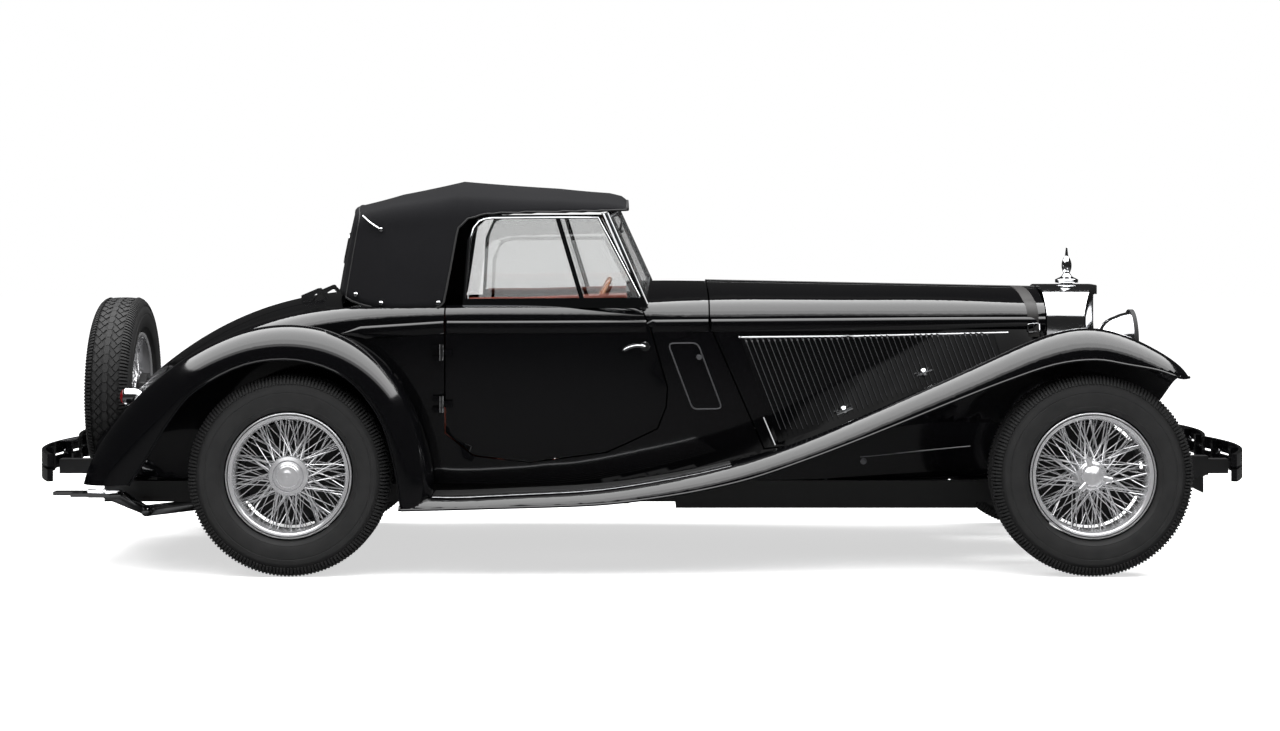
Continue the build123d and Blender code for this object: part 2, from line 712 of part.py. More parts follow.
def screen_pane(inset, depth):
    """Left pane outline in its own slanted plane, inset from the frame's edge, with its depth."""
    base, top, centre = Vector(*screen_pillar_base), Vector(*screen_pillar_top), Vector(*screen_centre_top)
    normal = (top - base).cross(centre - base).normalized()
    plane = Plane(origin=base, x_dir=centre - top, z_dir=normal)
    corners = [plane.to_local_coords(Vector(*p)) for p in
               (screen_pillar_base, screen_pillar_top, screen_centre_top, screen_centre_base)]
    with BuildPart() as pane:
        with BuildSketch(plane):
            with BuildLine():
                Polyline(*[(c.X, c.Y) for c in corners], close=True)
            make_face()
            if inset:
                offset(amount=-inset, kind=Kind.INTERSECTION)
        extrude(amount=depth / 2, both=True)
    return pane.part


half_space = Pos(0, 500, 1000) * Box(3000, 1000, 3000)
with BuildPart() as screen_frame:
    add(screen_pane(0, 18))
    add(screen_pane(screen_frame_width, 60), mode=Mode.SUBTRACT)
    add(half_space, mode=Mode.INTERSECT)
    mirror(about=Plane.XZ)
    add(outer_form, mode=Mode.SUBTRACT)
with BuildPart() as windscreen_frame:
    add(largest(screen_frame.part))
save(windscreen_frame, "windscreen_frame")

with BuildPart() as screen_glass:
    add(screen_pane(screen_frame_width, glass_thickness))
    add(outer_form, mode=Mode.SUBTRACT)
save_both(largest(screen_glass.part), "windscreen_glass")

window_outline = [(-669, 1024), (-654, 1244), (-620, 1318), (-574, 1330), (-168, 1332), (-8, 1028)]
window_lean = 67 / 344
window_plane = Plane(origin=(0, 607, 1001), x_dir=(-1, 0, 0), z_dir=(0, 1, window_lean))


def window_shape(grow, depth, low_z=None):
    """Side window outline in its leaning plane, grown for its frame."""
    rise = (1 + window_lean**2) ** 0.5
    points = [(-x, (z - 1001) * rise) for x, z in window_outline]
    if low_z is not None:
        points[0] = (points[0][0], (low_z - 1001) * rise)
        points[-1] = (points[-1][0] - 14, (low_z - 1001) * rise)
    with BuildPart() as shape:
        with BuildSketch(window_plane):
            with BuildLine():
                Polyline(*points, close=True)
            make_face()
            if grow:
                offset(amount=grow, kind=Kind.INTERSECTION)
        extrude(amount=depth / 2, both=True)
    return shape.part


window_division = side_prism([(-352, 1400), (-334, 1400), (-212, 1000), (-230, 1000)], 400, 800)
with BuildPart() as division_bar:
    add(window_shape(0, 10))
    add(window_division, mode=Mode.INTERSECT)

with BuildPart() as window_frame:
    add(window_shape(11, 12, 1000))
    add(window_shape(0, 40), mode=Mode.SUBTRACT)
    add(division_bar.part)
    add(outer_form, mode=Mode.SUBTRACT)
save_pair(largest(window_frame.part), "window_frame")

with BuildPart() as window_glass:
    add(window_shape(0, glass_thickness))
    add(window_division, mode=Mode.SUBTRACT)
    add(outer_form, mode=Mode.SUBTRACT)
glass_panes = window_glass.part.solids().sort_by(Axis.X)

# Hood rows: x, half width low down, at the eaves, eaves z, crown z
HOOD_BOWS = [
    (-52, 596, 516, 1352, 1411),
    (-150, 606, 524, 1356, 1436),
    (-330, 626, 534, 1360, 1454),
    (-713, 648, 540, 1360, 1476),
    (-955, 634, 530, 1340, 1434),
]
hood_low_z = 960
hood_skin = 10
hood_back_foot = (-1208, 540)
hood_back_top = (-1138, 1376)


def hood_section(plane, half_low, half_eave, eave_z, crown_z, low_z, inset):
    """Section of the raised hood: leaning sides, rounded eaves and an arched roof."""
    low, eave, crown = half_low - inset, half_eave - inset, crown_z - inset
    turn_in = 60
    side_top = (eave + 6, eave_z - 50)
    roof_edge = (eave - turn_in, eave_z + 0.42 * (crown_z - eave_z) - inset)
    corner = (eave - 12, eave_z - 0.4 * inset)
    with BuildSketch(plane) as section:
        with BuildLine():
            Line((-low, low_z), (low, low_z))
            Line((low, low_z), side_top)
            ThreePointArc(side_top, corner, roof_edge)
            ThreePointArc(roof_edge, (0, crown), (-roof_edge[0], roof_edge[1]))
            ThreePointArc((-roof_edge[0], roof_edge[1]), (-corner[0], corner[1]), (-side_top[0], side_top[1]))
            Line((-side_top[0], side_top[1]), (-low, low_z))
        make_face()
    return section.sketch


def hood_form(inset):
    """The raised hood as a filled form, ending in its leaning back panel."""
    back_x = (hood_back_top[0] - hood_back_foot[0])
    lean = Vector(back_x, 0, hood_back_top[1] - 1037)
    up = lean.normalized()
    back_plane = Plane(origin=(hood_back_top[0] + inset, 0, hood_back_top[1]), x_dir=(0, 1, 0),
                       z_dir=up.cross(Vector(0, 1, 0)) * -1)
    sections = [hood_section(cross_plane(x + (inset if x == -52 else 0)), a, b, c, d, hood_low_z, inset)
                for x, a, b, c, d in HOOD_BOWS]
    low_local = -(hood_back_top[1] - hood_low_z)
    sections.append(hood_section(back_plane, 560, 470, -48, 0, low_local, inset))
    with BuildPart() as form:
        loft(sections, ruled=True)
    return form.part


hood_side_cut = [(-749, 900), (-749, 1013), (-726, 1147), (-703, 1289), (-676, 1328), (-622, 1347),
                 (-545, 1356), (-161, 1364), (-30, 1368), (40, 1368), (40, 900)]
hood_low_cut = [(-1300, 1037), (-1205, 1037), (-1140, 1040), (-1063, 996), (-929, 978), (-772, 994),
                (-740, 1013), (-740, 800), (-1300, 800)]
back_window = (230, 120)  # half width and height of the window in the hood's back panel

with BuildPart() as soft_top:
    add(hood_form(0))
    add(hood_form(hood_skin), mode=Mode.SUBTRACT)
    add(side_prism(hood_side_cut, -800, 800), mode=Mode.SUBTRACT)
    add(side_prism(hood_low_cut, -800, 800), mode=Mode.SUBTRACT)
    box_between((-1400, -back_window[0], 1150), (-1100, back_window[0], 1150 + back_window[1]),
                mode=Mode.SUBTRACT)
    box_between((-60, -800, 900), (0, 800, 1372), mode=Mode.SUBTRACT)
    add(outer_form, mode=Mode.SUBTRACT)
with BuildPart() as hood_whole:
    add(largest(soft_top.part))
save(hood_whole, "soft_top")

# ---- exhaust, chassis, axles and engine -----------------------------------------------------------
pipe_y, pipe_z, pipe_radius = -240, 272, 22
bend_radius = 23  # of the ball that joins two lengths of pipe
silencer = ((-380, pipe_y, 262), (-50, pipe_y, 262))
silencer_radius = 56
fork = (-1900, -490, 208)  # below the frame rail, where the pipe divides into its two tips
pipe_route = [(760, -165, 560), (760, -215, 560), (700, pipe_y, pipe_z), (-1640, pipe_y, pipe_z),
              (-1700, pipe_y, fork[2]), fork]
tip_radius = 18
tips = ((-520, -2030), (-462, -2110))  # y and front end x of the two flat tips
with BuildPart() as exhaust:
    add(rod(*silencer, silencer_radius))
    for start, end in zip(pipe_route, pipe_route[1:]):
        add(rod(start, end, pipe_radius))
    for corner in pipe_route[1:]:
        with Locations(corner):
            Sphere(bend_radius)
    for y, x in tips:
        add(rod(fork, (x + 40, y, pipe_z), tip_radius))
        add(rod((x + 40, y, pipe_z), (x - 20, y, pipe_z), tip_radius))
        box_between((x - 150, y - 28, pipe_z - 6), (x, y + 28, pipe_z + 8))
save(exhaust, "exhaust")

rail_inner_y, rail_outer_y = 384, 434
rail_low_z, rail_high_z = 236, 316
rail_outline = [(-2075, rail_low_z), (1830, rail_low_z), (2185, 340), (2185, 412), (2120, 412),
                (1790, rail_high_z), (-2075, rail_high_z)]
cross_members_x = (-1960, -1120, -420, 215, 1330, 1700)
body_mounts_x = (-1000, -600, -200, 150)
with BuildPart() as chassis_frame:
    add(side_prism(rail_outline, rail_inner_y, rail_outer_y))
    mirror(about=Plane.XZ)
    for x in cross_members_x:
        box_between((x - 30, -rail_inner_y, rail_low_z + 10), (x + 30, rail_inner_y, rail_high_z - 6))
    for x in body_mounts_x:
        for y in (-rail_outer_y, rail_inner_y):
            box_between((x - 25, y, rail_high_z), (x + 25, y + 50, floor_z))
    with BuildSketch(side_plane(rail_inner_y)):
        with Locations((2150, 372)):
            Circle(16)
    extrude(amount=2 * rail_inner_y)
    for y in (-rail_outer_y, rail_inner_y):
        box_between((2160, y, 345), (2262, y + 50, 400))
        box_between((-2248, y, 345), (-2060, y + 50, 400))
        box_between((-2075, y, 300), (-2040, y + 50, 400))
    add(exhaust.part, mode=Mode.SUBTRACT)
save(chassis_frame, "chassis_frame")

with BuildPart() as engine_block:
    box_between((560, -165, rail_high_z - 6), (1350, 165, 900))
    fillet(engine_block.edges().filter_by(Axis.X), 40)
save(engine_block, "engine_block")

# king pins stand between the lugs of the front cross member; each knuckle carries stub and backplate
pin_radius = 18
lug_radius = 24
barrel_radius = 30
knuckle_half_height = 60
lug_gap = 6
lug_depth = 26
stub_end_y = 812


def upright_cylinder(y, radius, low, high, mode=Mode.ADD):
    """Cylinder about the king pin between two heights above the wheel's axle."""
    with Locations((front_axle_x, y, axle_z + low)):
        Cylinder(radius, high - low, align=(Align.CENTER, Align.CENTER, Align.MIN), mode=mode)


lug_low = knuckle_half_height + lug_gap
with BuildPart() as front_axle:
    box_between((front_axle_x - 34, -rail_outer_y, rail_high_z), (front_axle_x + 34, rail_outer_y, 352))
    for y in (-king_pin_y, king_pin_y):
        inner = 590 if y > 0 else -590
        edge = 560 if y > 0 else -560
        root = rail_inner_y if y > 0 else -rail_inner_y
        box_between((front_axle_x - 26, min(inner, edge), axle_z - lug_low - lug_depth),
                    (front_axle_x + 26, max(inner, edge), axle_z + lug_low + lug_depth))
        box_between((front_axle_x - 34, min(root, edge), rail_high_z),
                    (front_axle_x + 34, max(root, edge), 352))
        for low in (-lug_low - lug_depth, lug_low):
            upright_cylinder(y, lug_radius, low, low + lug_depth)
            box_between((front_axle_x - lug_radius, min(edge, y), axle_z + low),
                        (front_axle_x + lug_radius, max(edge, y), axle_z + low + lug_depth))
        upright_cylinder(y, pin_radius + running_fit, -lug_low - lug_depth, lug_low + lug_depth,
                         mode=Mode.SUBTRACT)
save(front_axle, "front_axle")

with BuildPart() as knuckle:
    upright_cylinder(king_pin_y, barrel_radius, -knuckle_half_height, knuckle_half_height)
    upright_cylinder(king_pin_y, pin_radius, -lug_low - lug_depth, lug_low + lug_depth)
    add(rod((front_axle_x, king_pin_y, axle_z), (front_axle_x, stub_end_y, axle_z), stub_radius))
    add(rod((front_axle_x, 668, axle_z), (front_axle_x, 682, axle_z), 150))
save_pair(knuckle.part, "steering_knuckle")

axle_tube_radius = 38
with BuildPart() as rear_axle:
    add(rod((rear_axle_x, -668, axle_z), (rear_axle_x, 668, axle_z), axle_tube_radius))
    add(rod((rear_axle_x, -stub_end_y, axle_z), (rear_axle_x, stub_end_y, axle_z), stub_radius))
    with Locations((rear_axle_x, 0, axle_z)):
        Sphere(62)
    for y in (-682, 668):
        add(rod((rear_axle_x, y, axle_z), (rear_axle_x, y + 14, axle_z), 150))
    for y in (-rail_outer_y, rail_inner_y):
        box_between((rear_axle_x - 40, y, rail_high_z), (rear_axle_x + 40, y + 50, axle_z))
save(rear_axle, "rear_axle")

# ---- wheels: tyre, and wire wheel with hub, for five places ----------------------------------------
spoke_radius = 2.4
spoke_head_radius = 208
# rows of crossed spokes: hub flange x, flange radius, x at the rim, number of spokes, lean in radians
SPOKE_ROWS = [
    (-54, 58, 24, 24, 0.52),
    (-54, 58, -26, 16, 0.30),
    (45, 50, -12, 24, 0.44),
]
tread_half, side_half = 68, tyre_width / 2


def tyre_ring():
    """Tyre about the X axis of its own frame, with bulging walls and rounded shoulders."""
    with BuildPart() as ring:
        with BuildSketch(Plane.XY):
            with BuildLine():
                Polyline((-58, bead_radius), (-66, 240))
                ThreePointArc((-66, 240), (-side_half, 300), (-tread_half, 366))
                ThreePointArc((-tread_half, 366), (0, tyre_radius), (tread_half, 366))
                ThreePointArc((tread_half, 366), (side_half, 300), (66, 240))
                Polyline((66, 240), (58, bead_radius), (-58, bead_radius))
            make_face()
        revolve(axis=Axis.X)
    return ring.part


def wire_wheel(cap):
    """Wire wheel about the X axis, its outer side towards +X: rim, crossed spokes, hub and its cap."""
    with BuildPart() as wheel:
        with BuildSketch(Plane.XY):
            with BuildLine():
                Polyline((-66, rim_radius), (-72, rim_radius), (-70, 214), (-40, 206), (40, 206), (70, 214),
                         (72, rim_radius), (66, rim_radius), (66, 228), (58, bead_radius),
                         (-58, bead_radius), (-66, 228), close=True)
            make_face()
        revolve(axis=Axis.X)
        with BuildSketch(Plane.XY):
            with BuildLine():
                Polyline((-60, 0), (-60, 62), (-50, 62), (-44, 40), (34, 36), (40, 54), (50, 54), (56, 40),
                         *cap, close=True)
            make_face()
        revolve(axis=Axis.X)
        add([rod(*ends, spoke_radius) for ends in spoke_ends()])
        with Locations(Location((-61, 0, 0), (0, 90, 0))):
            Cylinder(stub_radius + running_fit, 122, align=(Align.CENTER, Align.CENTER, Align.MIN),
                     mode=Mode.SUBTRACT)
    return wheel.part


def spoke_ends():
    """Both ends of every spoke: neighbours in a row lean opposite ways, so that they cross."""
    for flange_x, flange_r, rim_x, count, lean in SPOKE_ROWS:
        for index in range(count):
            foot = 2 * pi * index / count
            head = foot + (lean if index % 2 else -lean)
            yield ((flange_x, flange_r * cos(foot), flange_r * sin(foot)),
                   (rim_x, spoke_head_radius * cos(head), spoke_head_radius * sin(head)))


knock_off_cap = [(62, 44), (78, 40), (92, 24), (98, 12), (98, 0)]
stepped_cap = [(62, 58), (80, 56), (84, 44), (96, 40), (100, 26), (106, 14), (108, 0)]


def placed_wheel(part, x, y, z, turn):
    """Turns a wheel from its own X axis to its place on the car."""
    return Pos(x, y, z) * Rot(0, 0, turn) * part


plain_tyre = tyre_ring()
front_wheel = wire_wheel(knock_off_cap)
rear_wheel = wire_wheel(stepped_cap)
for axle, x, wheel_form in (("front", front_axle_x, front_wheel), ("rear", rear_axle_x, rear_wheel)):
    for side, turn, y in (("left", 90, half_track), ("right", -90, -half_track)):
        with BuildPart() as tyre:
            add(placed_wheel(plain_tyre, x, y, axle_z, turn))
        save(tyre, f"tyre_{axle}_{side}")
        with BuildPart() as wheel:
            add(placed_wheel(wheel_form, x, y, axle_z, turn))
        save(wheel, f"wheel_{axle}_{side}")

spare_x = -2088
with BuildPart() as spare_tyre:
    add(placed_wheel(plain_tyre, spare_x, 0, spare_z, 180))
save(spare_tyre, "tyre_spare")
with BuildPart() as spare_wheel:
    add(placed_wheel(front_wheel, spare_x, 0, spare_z, 180))
save(spare_wheel, "wheel_spare")
with BuildPart() as spare_carrier:
    add(rod((pocket_x, 0, spare_z), (spare_x - 58, 0, spare_z), stub_radius + running_fit))
    add(rod((pocket_x, 0, spare_z), (pocket_x - 30, 0, spare_z), 70))
save(spare_carrier, "spare_carrier")

# ---- bumpers, exhaust, tank and small fittings -----------------------------------------------------
bumper_bar_height = 46
bumper_bars_z = (349, 405)


def bumper(direction):
    """Twin bars with swept-back ends, joined by four upright clamps."""
    outer = [(2214, 772), (2286, 560), (2314, 285), (2296, 120), (2270, 0)]
    depth = 14
    with BuildPart() as bars:
        for z in bumper_bars_z:
            with BuildSketch(Plane.XY.offset(z)):
                with BuildLine():
                    ThreePointArc(*[(direction * x, y) for x, y in outer[0:3]])
                    ThreePointArc(*[(direction * x, y) for x, y in outer[2:5]])
                    Line((direction * outer[4][0], 0), (direction * (outer[4][0] - depth), 0))
                    ThreePointArc(*[(direction * (x - depth), y) for x, y in reversed(outer[2:5])])
                    ThreePointArc((direction * (2314 - depth), 285), (direction * (2286 - depth), 556),
                                  (direction * (2208 - depth), 764))
                    Line((direction * (2208 - depth), 764), (direction * 2214, 772))
                make_face()
            extrude(amount=bumper_bar_height)
        for y in (150, 409):
            x = 2272 if y == 409 else 2262
            low, high = sorted((direction * x, direction * (x + 24)))
            box_between((low, y - 16, bumper_bars_z[0] + 6), (high, y + 16, bumper_bars_z[1] + 40))
        mirror(about=Plane.XZ)
    return bars.part


for name, direction in (("front", 1), ("rear", -1)):
    with BuildPart() as bumper_piece:
        add(bumper(direction))
        add(chassis_frame.part, mode=Mode.SUBTRACT)
    save(bumper_piece, f"bumper_{name}")

with BuildPart() as fuel_tank:
    box_between((-1880, -rail_inner_y, rail_low_z), (-1440, -290, 326))
save(fuel_tank, "fuel_tank")

for side, shape in (("left", window_glass.part), ("right", mirrored(window_glass.part))):
    with BuildPart() as panes:
        add(shape)
    save(panes, f"window_glass_{side}")

with BuildPart() as undertray:
    box_between((130, -rail_outer_y - 4, 212), (1288, rail_outer_y + 4, 318))
    box_between((100, -rail_outer_y, 217), (1300, rail_outer_y, 330), mode=Mode.SUBTRACT)
save(undertray, "undertray")

tail_lamp_y, tail_lamp_z = 500, 646
with BuildPart() as tail_lamp:
    with BuildSketch(Plane(origin=(0, tail_lamp_y, tail_lamp_z), x_dir=(1, 0, 0), z_dir=(0, -1, 0))):
        with BuildLine():
            Polyline((-1984, 0), (-1984, 32), (-1976, 36), (-1950, 34))
            ThreePointArc((-1950, 34), (-1918, 24), (-1902, 0))
            Line((-1902, 0), (-1984, 0))
        make_face()
    revolve(axis=Axis((0, tail_lamp_y, tail_lamp_z), (1, 0, 0)))
    add(rod((-1945, tail_lamp_y, tail_lamp_z - 20), (-1945, tail_lamp_y, 480), 11))
    add(rear_wing.part, mode=Mode.SUBTRACT)
save_both(largest(tail_lamp.part), "tail_lamps")

with BuildPart() as number_plate:
    box_between((2203, -255, 250), (2207, 255, 358))
    for y in (-180, 180):
        box_between((2188, y - 14, 356), (2203, y + 14, 384))
        box_between((2188, y - 14, 340), (2203, y + 14, 360))
    box_between((2190, -194, 340), (2203, 194, 350))
    add(chassis_frame.part, mode=Mode.SUBTRACT)
    with Locations(Location((2205, 0, 316), (0, 90, 0))):
        with GridLocations(10, 300, 1, 2):
            Cylinder(3.5, 30, mode=Mode.SUBTRACT)
with BuildPart() as number_plate_front:
    add(largest(number_plate.part))
save(number_plate_front, "number_plate_front")

# ---- cabin ----------------------------------------------------------------------------------------
driver_y = -330
wheel_centre = (-222, driver_y, 919)
column_tilt = 29  # of the wheel's plane from upright
column_axis = (cos(radians(column_tilt)), 0, -sin(radians(column_tilt)))
hand_rim_radius, hand_rim_tube = 196, 11
shaft_radius = 9
hub_half = 24


def along_column(distance):
    """Point on the steering column, measured forwards from the wheel's centre."""
    return tuple(c + distance * a for c, a in zip(wheel_centre, column_axis))


with BuildPart() as steering_column:
    add(rod(along_column(-18), along_column(60), shaft_radius))
    add(rod(along_column(hub_half + 6), along_column(480), 19))
save(steering_column, "steering_column")

wheel_plane = Plane(origin=wheel_centre, x_dir=(0, 1, 0), z_dir=column_axis)
with BuildPart() as steering_wheel:
    with Locations(wheel_plane.location):
        Torus(hand_rim_radius, hand_rim_tube)
    add(rod(along_column(-hub_half), along_column(hub_half), 34))
    for index in range(4):
        angle = pi / 4 + index * pi / 2
        tip = Vector(hand_rim_radius * cos(angle), hand_rim_radius * sin(angle), 0)
        add(rod(wheel_centre, tuple(wheel_plane.from_local_coords(tip)), 7))
    add(rod(along_column(-hub_half + 6), along_column(hub_half), shaft_radius + running_fit),
        mode=Mode.SUBTRACT)
save(steering_wheel, "steering_wheel")

dash_x = -40
with BuildPart() as dashboard:
    box_between((dash_x - 16, -700, 742), (dash_x, 700, 1100))
    add(cabin_lining, mode=Mode.INTERSECT)
    add(steering_column.part, mode=Mode.SUBTRACT)
save(dashboard, "dashboard")

with BuildPart() as seat_cushion:
    add(side_prism([(-1010, 338), (-1030, 520), (-540, 548), (-515, 366), (-540, 338)], -520, 520, 20))
save(seat_cushion, "seat_cushion")

with BuildPart() as seat_back:
    add(side_prism([(-1142, 338), (-1142, 950), (-1110, 966), (-1074, 950), (-1036, 534), (-1018, 338)],
                   -505, 505, 12))
save(seat_back, "seat_back")
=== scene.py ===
import json
import math

import bmesh
import bpy
from mathutils import Matrix, Vector
from mathutils.bvhtree import BVHTree

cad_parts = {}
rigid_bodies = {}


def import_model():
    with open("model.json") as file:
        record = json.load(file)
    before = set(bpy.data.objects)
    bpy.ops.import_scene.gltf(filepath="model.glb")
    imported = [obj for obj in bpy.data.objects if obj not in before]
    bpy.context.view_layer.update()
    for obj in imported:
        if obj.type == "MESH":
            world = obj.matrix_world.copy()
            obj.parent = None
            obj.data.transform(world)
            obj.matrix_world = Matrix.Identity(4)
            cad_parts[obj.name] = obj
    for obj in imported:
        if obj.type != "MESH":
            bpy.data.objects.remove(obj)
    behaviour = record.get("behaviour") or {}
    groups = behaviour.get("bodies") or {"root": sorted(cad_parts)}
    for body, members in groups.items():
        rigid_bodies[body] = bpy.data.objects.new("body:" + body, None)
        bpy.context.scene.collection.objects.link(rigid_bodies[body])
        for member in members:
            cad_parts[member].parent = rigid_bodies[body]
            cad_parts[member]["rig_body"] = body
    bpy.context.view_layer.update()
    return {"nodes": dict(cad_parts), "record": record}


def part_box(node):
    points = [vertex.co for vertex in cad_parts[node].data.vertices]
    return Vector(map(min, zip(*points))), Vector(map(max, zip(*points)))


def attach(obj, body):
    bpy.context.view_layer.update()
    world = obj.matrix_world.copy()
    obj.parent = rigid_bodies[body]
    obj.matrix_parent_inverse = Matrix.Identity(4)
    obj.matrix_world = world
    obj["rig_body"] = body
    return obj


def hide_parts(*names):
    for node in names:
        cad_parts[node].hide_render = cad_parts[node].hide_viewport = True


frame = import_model()
nodes = frame["nodes"]
print("frame loaded:", len(nodes), "nodes")

# camera, floor and light
view = {
    "cameraPlace": (-0.008, -10.05, 1.346),  # metres
    "lens": 70.1,  # millimetres on a 36 mm sensor
    "shiftDown": -0.1184,
}

studio = {
    "floorSize": 60.0,
    # softboxes overhead: middle, width and depth, power; the later ones feather the first one's near edge
    "softboxes": [((0.1, 2.20, 4.6), (11.0, 1.4), 230.0), ((0.1, -0.55, 4.6), (11.0, 4.1), 733.0),
                  ((0.1, -3.45, 4.6), (11.0, 1.7), 245.0), ((0.1, -5.00, 4.6), (11.0, 1.4), 70.0)],
    "horizonGlow": 0.025,  # how much of the pale room shows in paint and chrome
    "roomFill": 0.22,  # light from the pale room on matt surfaces
}


def srgb(code, alpha=1.0):
    # "#rrggbb" to linear red, green, blue, alpha
    parts = [int(code[i:i + 2], 16) / 255 for i in (1, 3, 5)]
    return tuple(p / 12.92 if p <= 0.04045 else ((p + 0.055) / 1.055) ** 2.4 for p in parts) + (alpha,)


def addNode(tree, kind, settings=None, links=None):
    # settings: attribute or input socket name to value; links: input socket name to output socket
    node = tree.nodes.new(kind)
    for key, value in (settings or {}).items():
        if isinstance(key, int) or key in node.inputs:
            node.inputs[key].default_value = value
        else:
            setattr(node, key, value)
    for key, output in (links or {}).items():
        tree.links.new(output, node.inputs[key])
    return node


def makeCamera():
    data = bpy.data.cameras.new("sideCamera")
    data.lens = view["lens"]
    data.sensor_width = 36.0
    data.shift_y = view["shiftDown"]
    camera = bpy.data.objects.new("sideCamera", data)
    camera.location = view["cameraPlace"]
    camera.rotation_euler = (math.radians(90), 0, 0)  # level, looking at the car's right side
    bpy.context.scene.collection.objects.link(camera)
    bpy.context.scene.camera = camera


def areaLight(name, place, size, power):
    data = bpy.data.lights.new(name, "AREA")
    data.shape = "RECTANGLE"
    data.size, data.size_y = size
    data.energy = power
    light = bpy.data.objects.new(name, data)
    light.location = place
    bpy.context.scene.collection.objects.link(light)


def makeStage():
    scene = bpy.context.scene
    scene.view_settings.view_transform = "Standard"
    world = bpy.data.worlds.new("paleRoom")
    scene.world = world
    world.use_nodes = True
    tree = world.node_tree
    tree.nodes.clear()
    path = addNode(tree, "ShaderNodeLightPath")
    seen = addNode(tree, "ShaderNodeMath", {"operation": "MAXIMUM"},
                   {0: path.outputs["Is Camera Ray"], 1: path.outputs["Is Transmission Ray"]})
    glossy = addNode(tree, "ShaderNodeMath", {"operation": "MULTIPLY", 1: studio["horizonGlow"]},
                     {0: path.outputs["Is Glossy Ray"]})
    strength = addNode(tree, "ShaderNodeMath", {"operation": "MAXIMUM"},
                       {0: seen.outputs[0], 1: glossy.outputs[0]})
    matt = addNode(tree, "ShaderNodeMath", {"operation": "MULTIPLY", 1: studio["roomFill"]},
                   {0: path.outputs["Is Diffuse Ray"]})
    lit = addNode(tree, "ShaderNodeMath", {"operation": "MAXIMUM"},
                  {0: strength.outputs[0], 1: matt.outputs[0]})
    back = addNode(tree, "ShaderNodeBackground", {"Color": (1, 1, 1, 1)}, {"Strength": lit.outputs[0]})
    addNode(tree, "ShaderNodeOutputWorld", links={"Surface": back.outputs[0]})

    mesh = bpy.data.meshes.new("studioFloor")
    bm = bmesh.new()
    bmesh.ops.create_grid(bm, x_segments=1, y_segments=1, size=studio["floorSize"] / 2)
    bm.to_mesh(mesh)
    bm.free()
    floor = bpy.data.objects.new("studioFloor", mesh)
    scene.collection.objects.link(floor)
    material = bpy.data.materials.new("paleSeamlessPaper")
    material.use_nodes = True
    tree = material.node_tree
    tree.nodes.clear()
    path = addNode(tree, "ShaderNodeLightPath")
    paper = addNode(tree, "ShaderNodeBsdfDiffuse", {"Color": srgb("#ededed")})
    place = addNode(tree, "ShaderNodeTexCoord")
    away = addNode(tree, "ShaderNodeVectorMath", {"operation": "LENGTH"}, {0: place.outputs["Object"]})
    spread = addNode(tree, "ShaderNodeMapRange",
                     {"From Min": 2.4, "From Max": 6.0, "To Min": 0.62, "To Max": 1.0},
                     {"Value": away.outputs["Value"]})
    glow = addNode(tree, "ShaderNodeEmission", {"Color": (1, 1, 1, 1)}, {"Strength": spread.outputs[0]})
    both = addNode(tree, "ShaderNodeAddShader", links={0: paper.outputs[0], 1: glow.outputs[0]})
    dim = addNode(tree, "ShaderNodeBsdfDiffuse", {"Color": srgb("#3a3a3a")})
    mix = addNode(tree, "ShaderNodeMixShader",
                  links={0: path.outputs["Is Glossy Ray"], 1: both.outputs[0], 2: dim.outputs[0]})
    addNode(tree, "ShaderNodeOutputMaterial", links={"Surface": mix.outputs[0]})
    mesh.materials.append(material)
    for place, size, power in studio["softboxes"]:
        areaLight("softbox", place, size, power)


makeCamera()
makeStage()
print("camera and stage ready")

# materials


def startMaterial(name, settings):
    # a Principled shader with fixed sockets; returns material, tree and shader
    material = bpy.data.materials.new(name)
    material.use_nodes = True
    tree = material.node_tree
    shader = tree.nodes["Principled BSDF"]
    for key, value in settings.items():
        shader.inputs[key].default_value = value
    return material, tree, shader


def objectPoint(tree, scale=(1, 1, 1)):
    # object coordinates in metres, stretched by scale
    place = addNode(tree, "ShaderNodeTexCoord")
    mapping = addNode(tree, "ShaderNodeMapping", {"Scale": scale}, {"Vector": place.outputs["Object"]})
    return mapping.outputs[0]


def blackEnamel():
    # cellulose coach enamel, flatted and polished: black, wet-looking, with a faint orange-peel ripple
    material, tree, shader = startMaterial("blackCoachEnamel", {
        "Base Color": srgb("#050506"), "Roughness": 0.09, "IOR": 1.48, "Coat Weight": 0.35,
        "Coat Roughness": 0.03, "Coat IOR": 1.45})
    peel = addNode(tree, "ShaderNodeTexNoise", {"Scale": 95.0, "Detail": 1.0, "Roughness": 0.4},
                   {"Vector": objectPoint(tree)})
    bump = addNode(tree, "ShaderNodeBump", {"Strength": 0.012, "Distance": 0.002},
                   {"Height": peel.outputs[0]})
    tree.links.new(bump.outputs[0], shader.inputs["Normal"])
    return material


def chassisBlack():
    # brushed-on satin chassis black over forgings
    material, tree, shader = startMaterial("satinChassisBlack", {
        "Base Color": srgb("#141415"), "Roughness": 0.42})
    noise = addNode(tree, "ShaderNodeTexNoise", {"Scale": 140.0, "Detail": 3.0},
                    {"Vector": objectPoint(tree)})
    bump = addNode(tree, "ShaderNodeBump", {"Strength": 0.08, "Distance": 0.001},
                   {"Height": noise.outputs[0]})
    tree.links.new(bump.outputs[0], shader.inputs["Normal"])
    return material


def chromePlate():
    # polished chrome plate on brass
    material, tree, shader = startMaterial("polishedChromePlate", {
        "Base Color": srgb("#d9dadc"), "Metallic": 1.0, "Roughness": 0.07})
    noise = addNode(tree, "ShaderNodeTexNoise", {"Scale": 60.0, "Detail": 2.0}, {"Vector": objectPoint(tree)})
    spread = addNode(tree, "ShaderNodeMapRange", {"To Min": 0.05, "To Max": 0.12},
                     {"Value": noise.outputs[0]})
    tree.links.new(spread.outputs[0], shader.inputs["Roughness"])
    return material


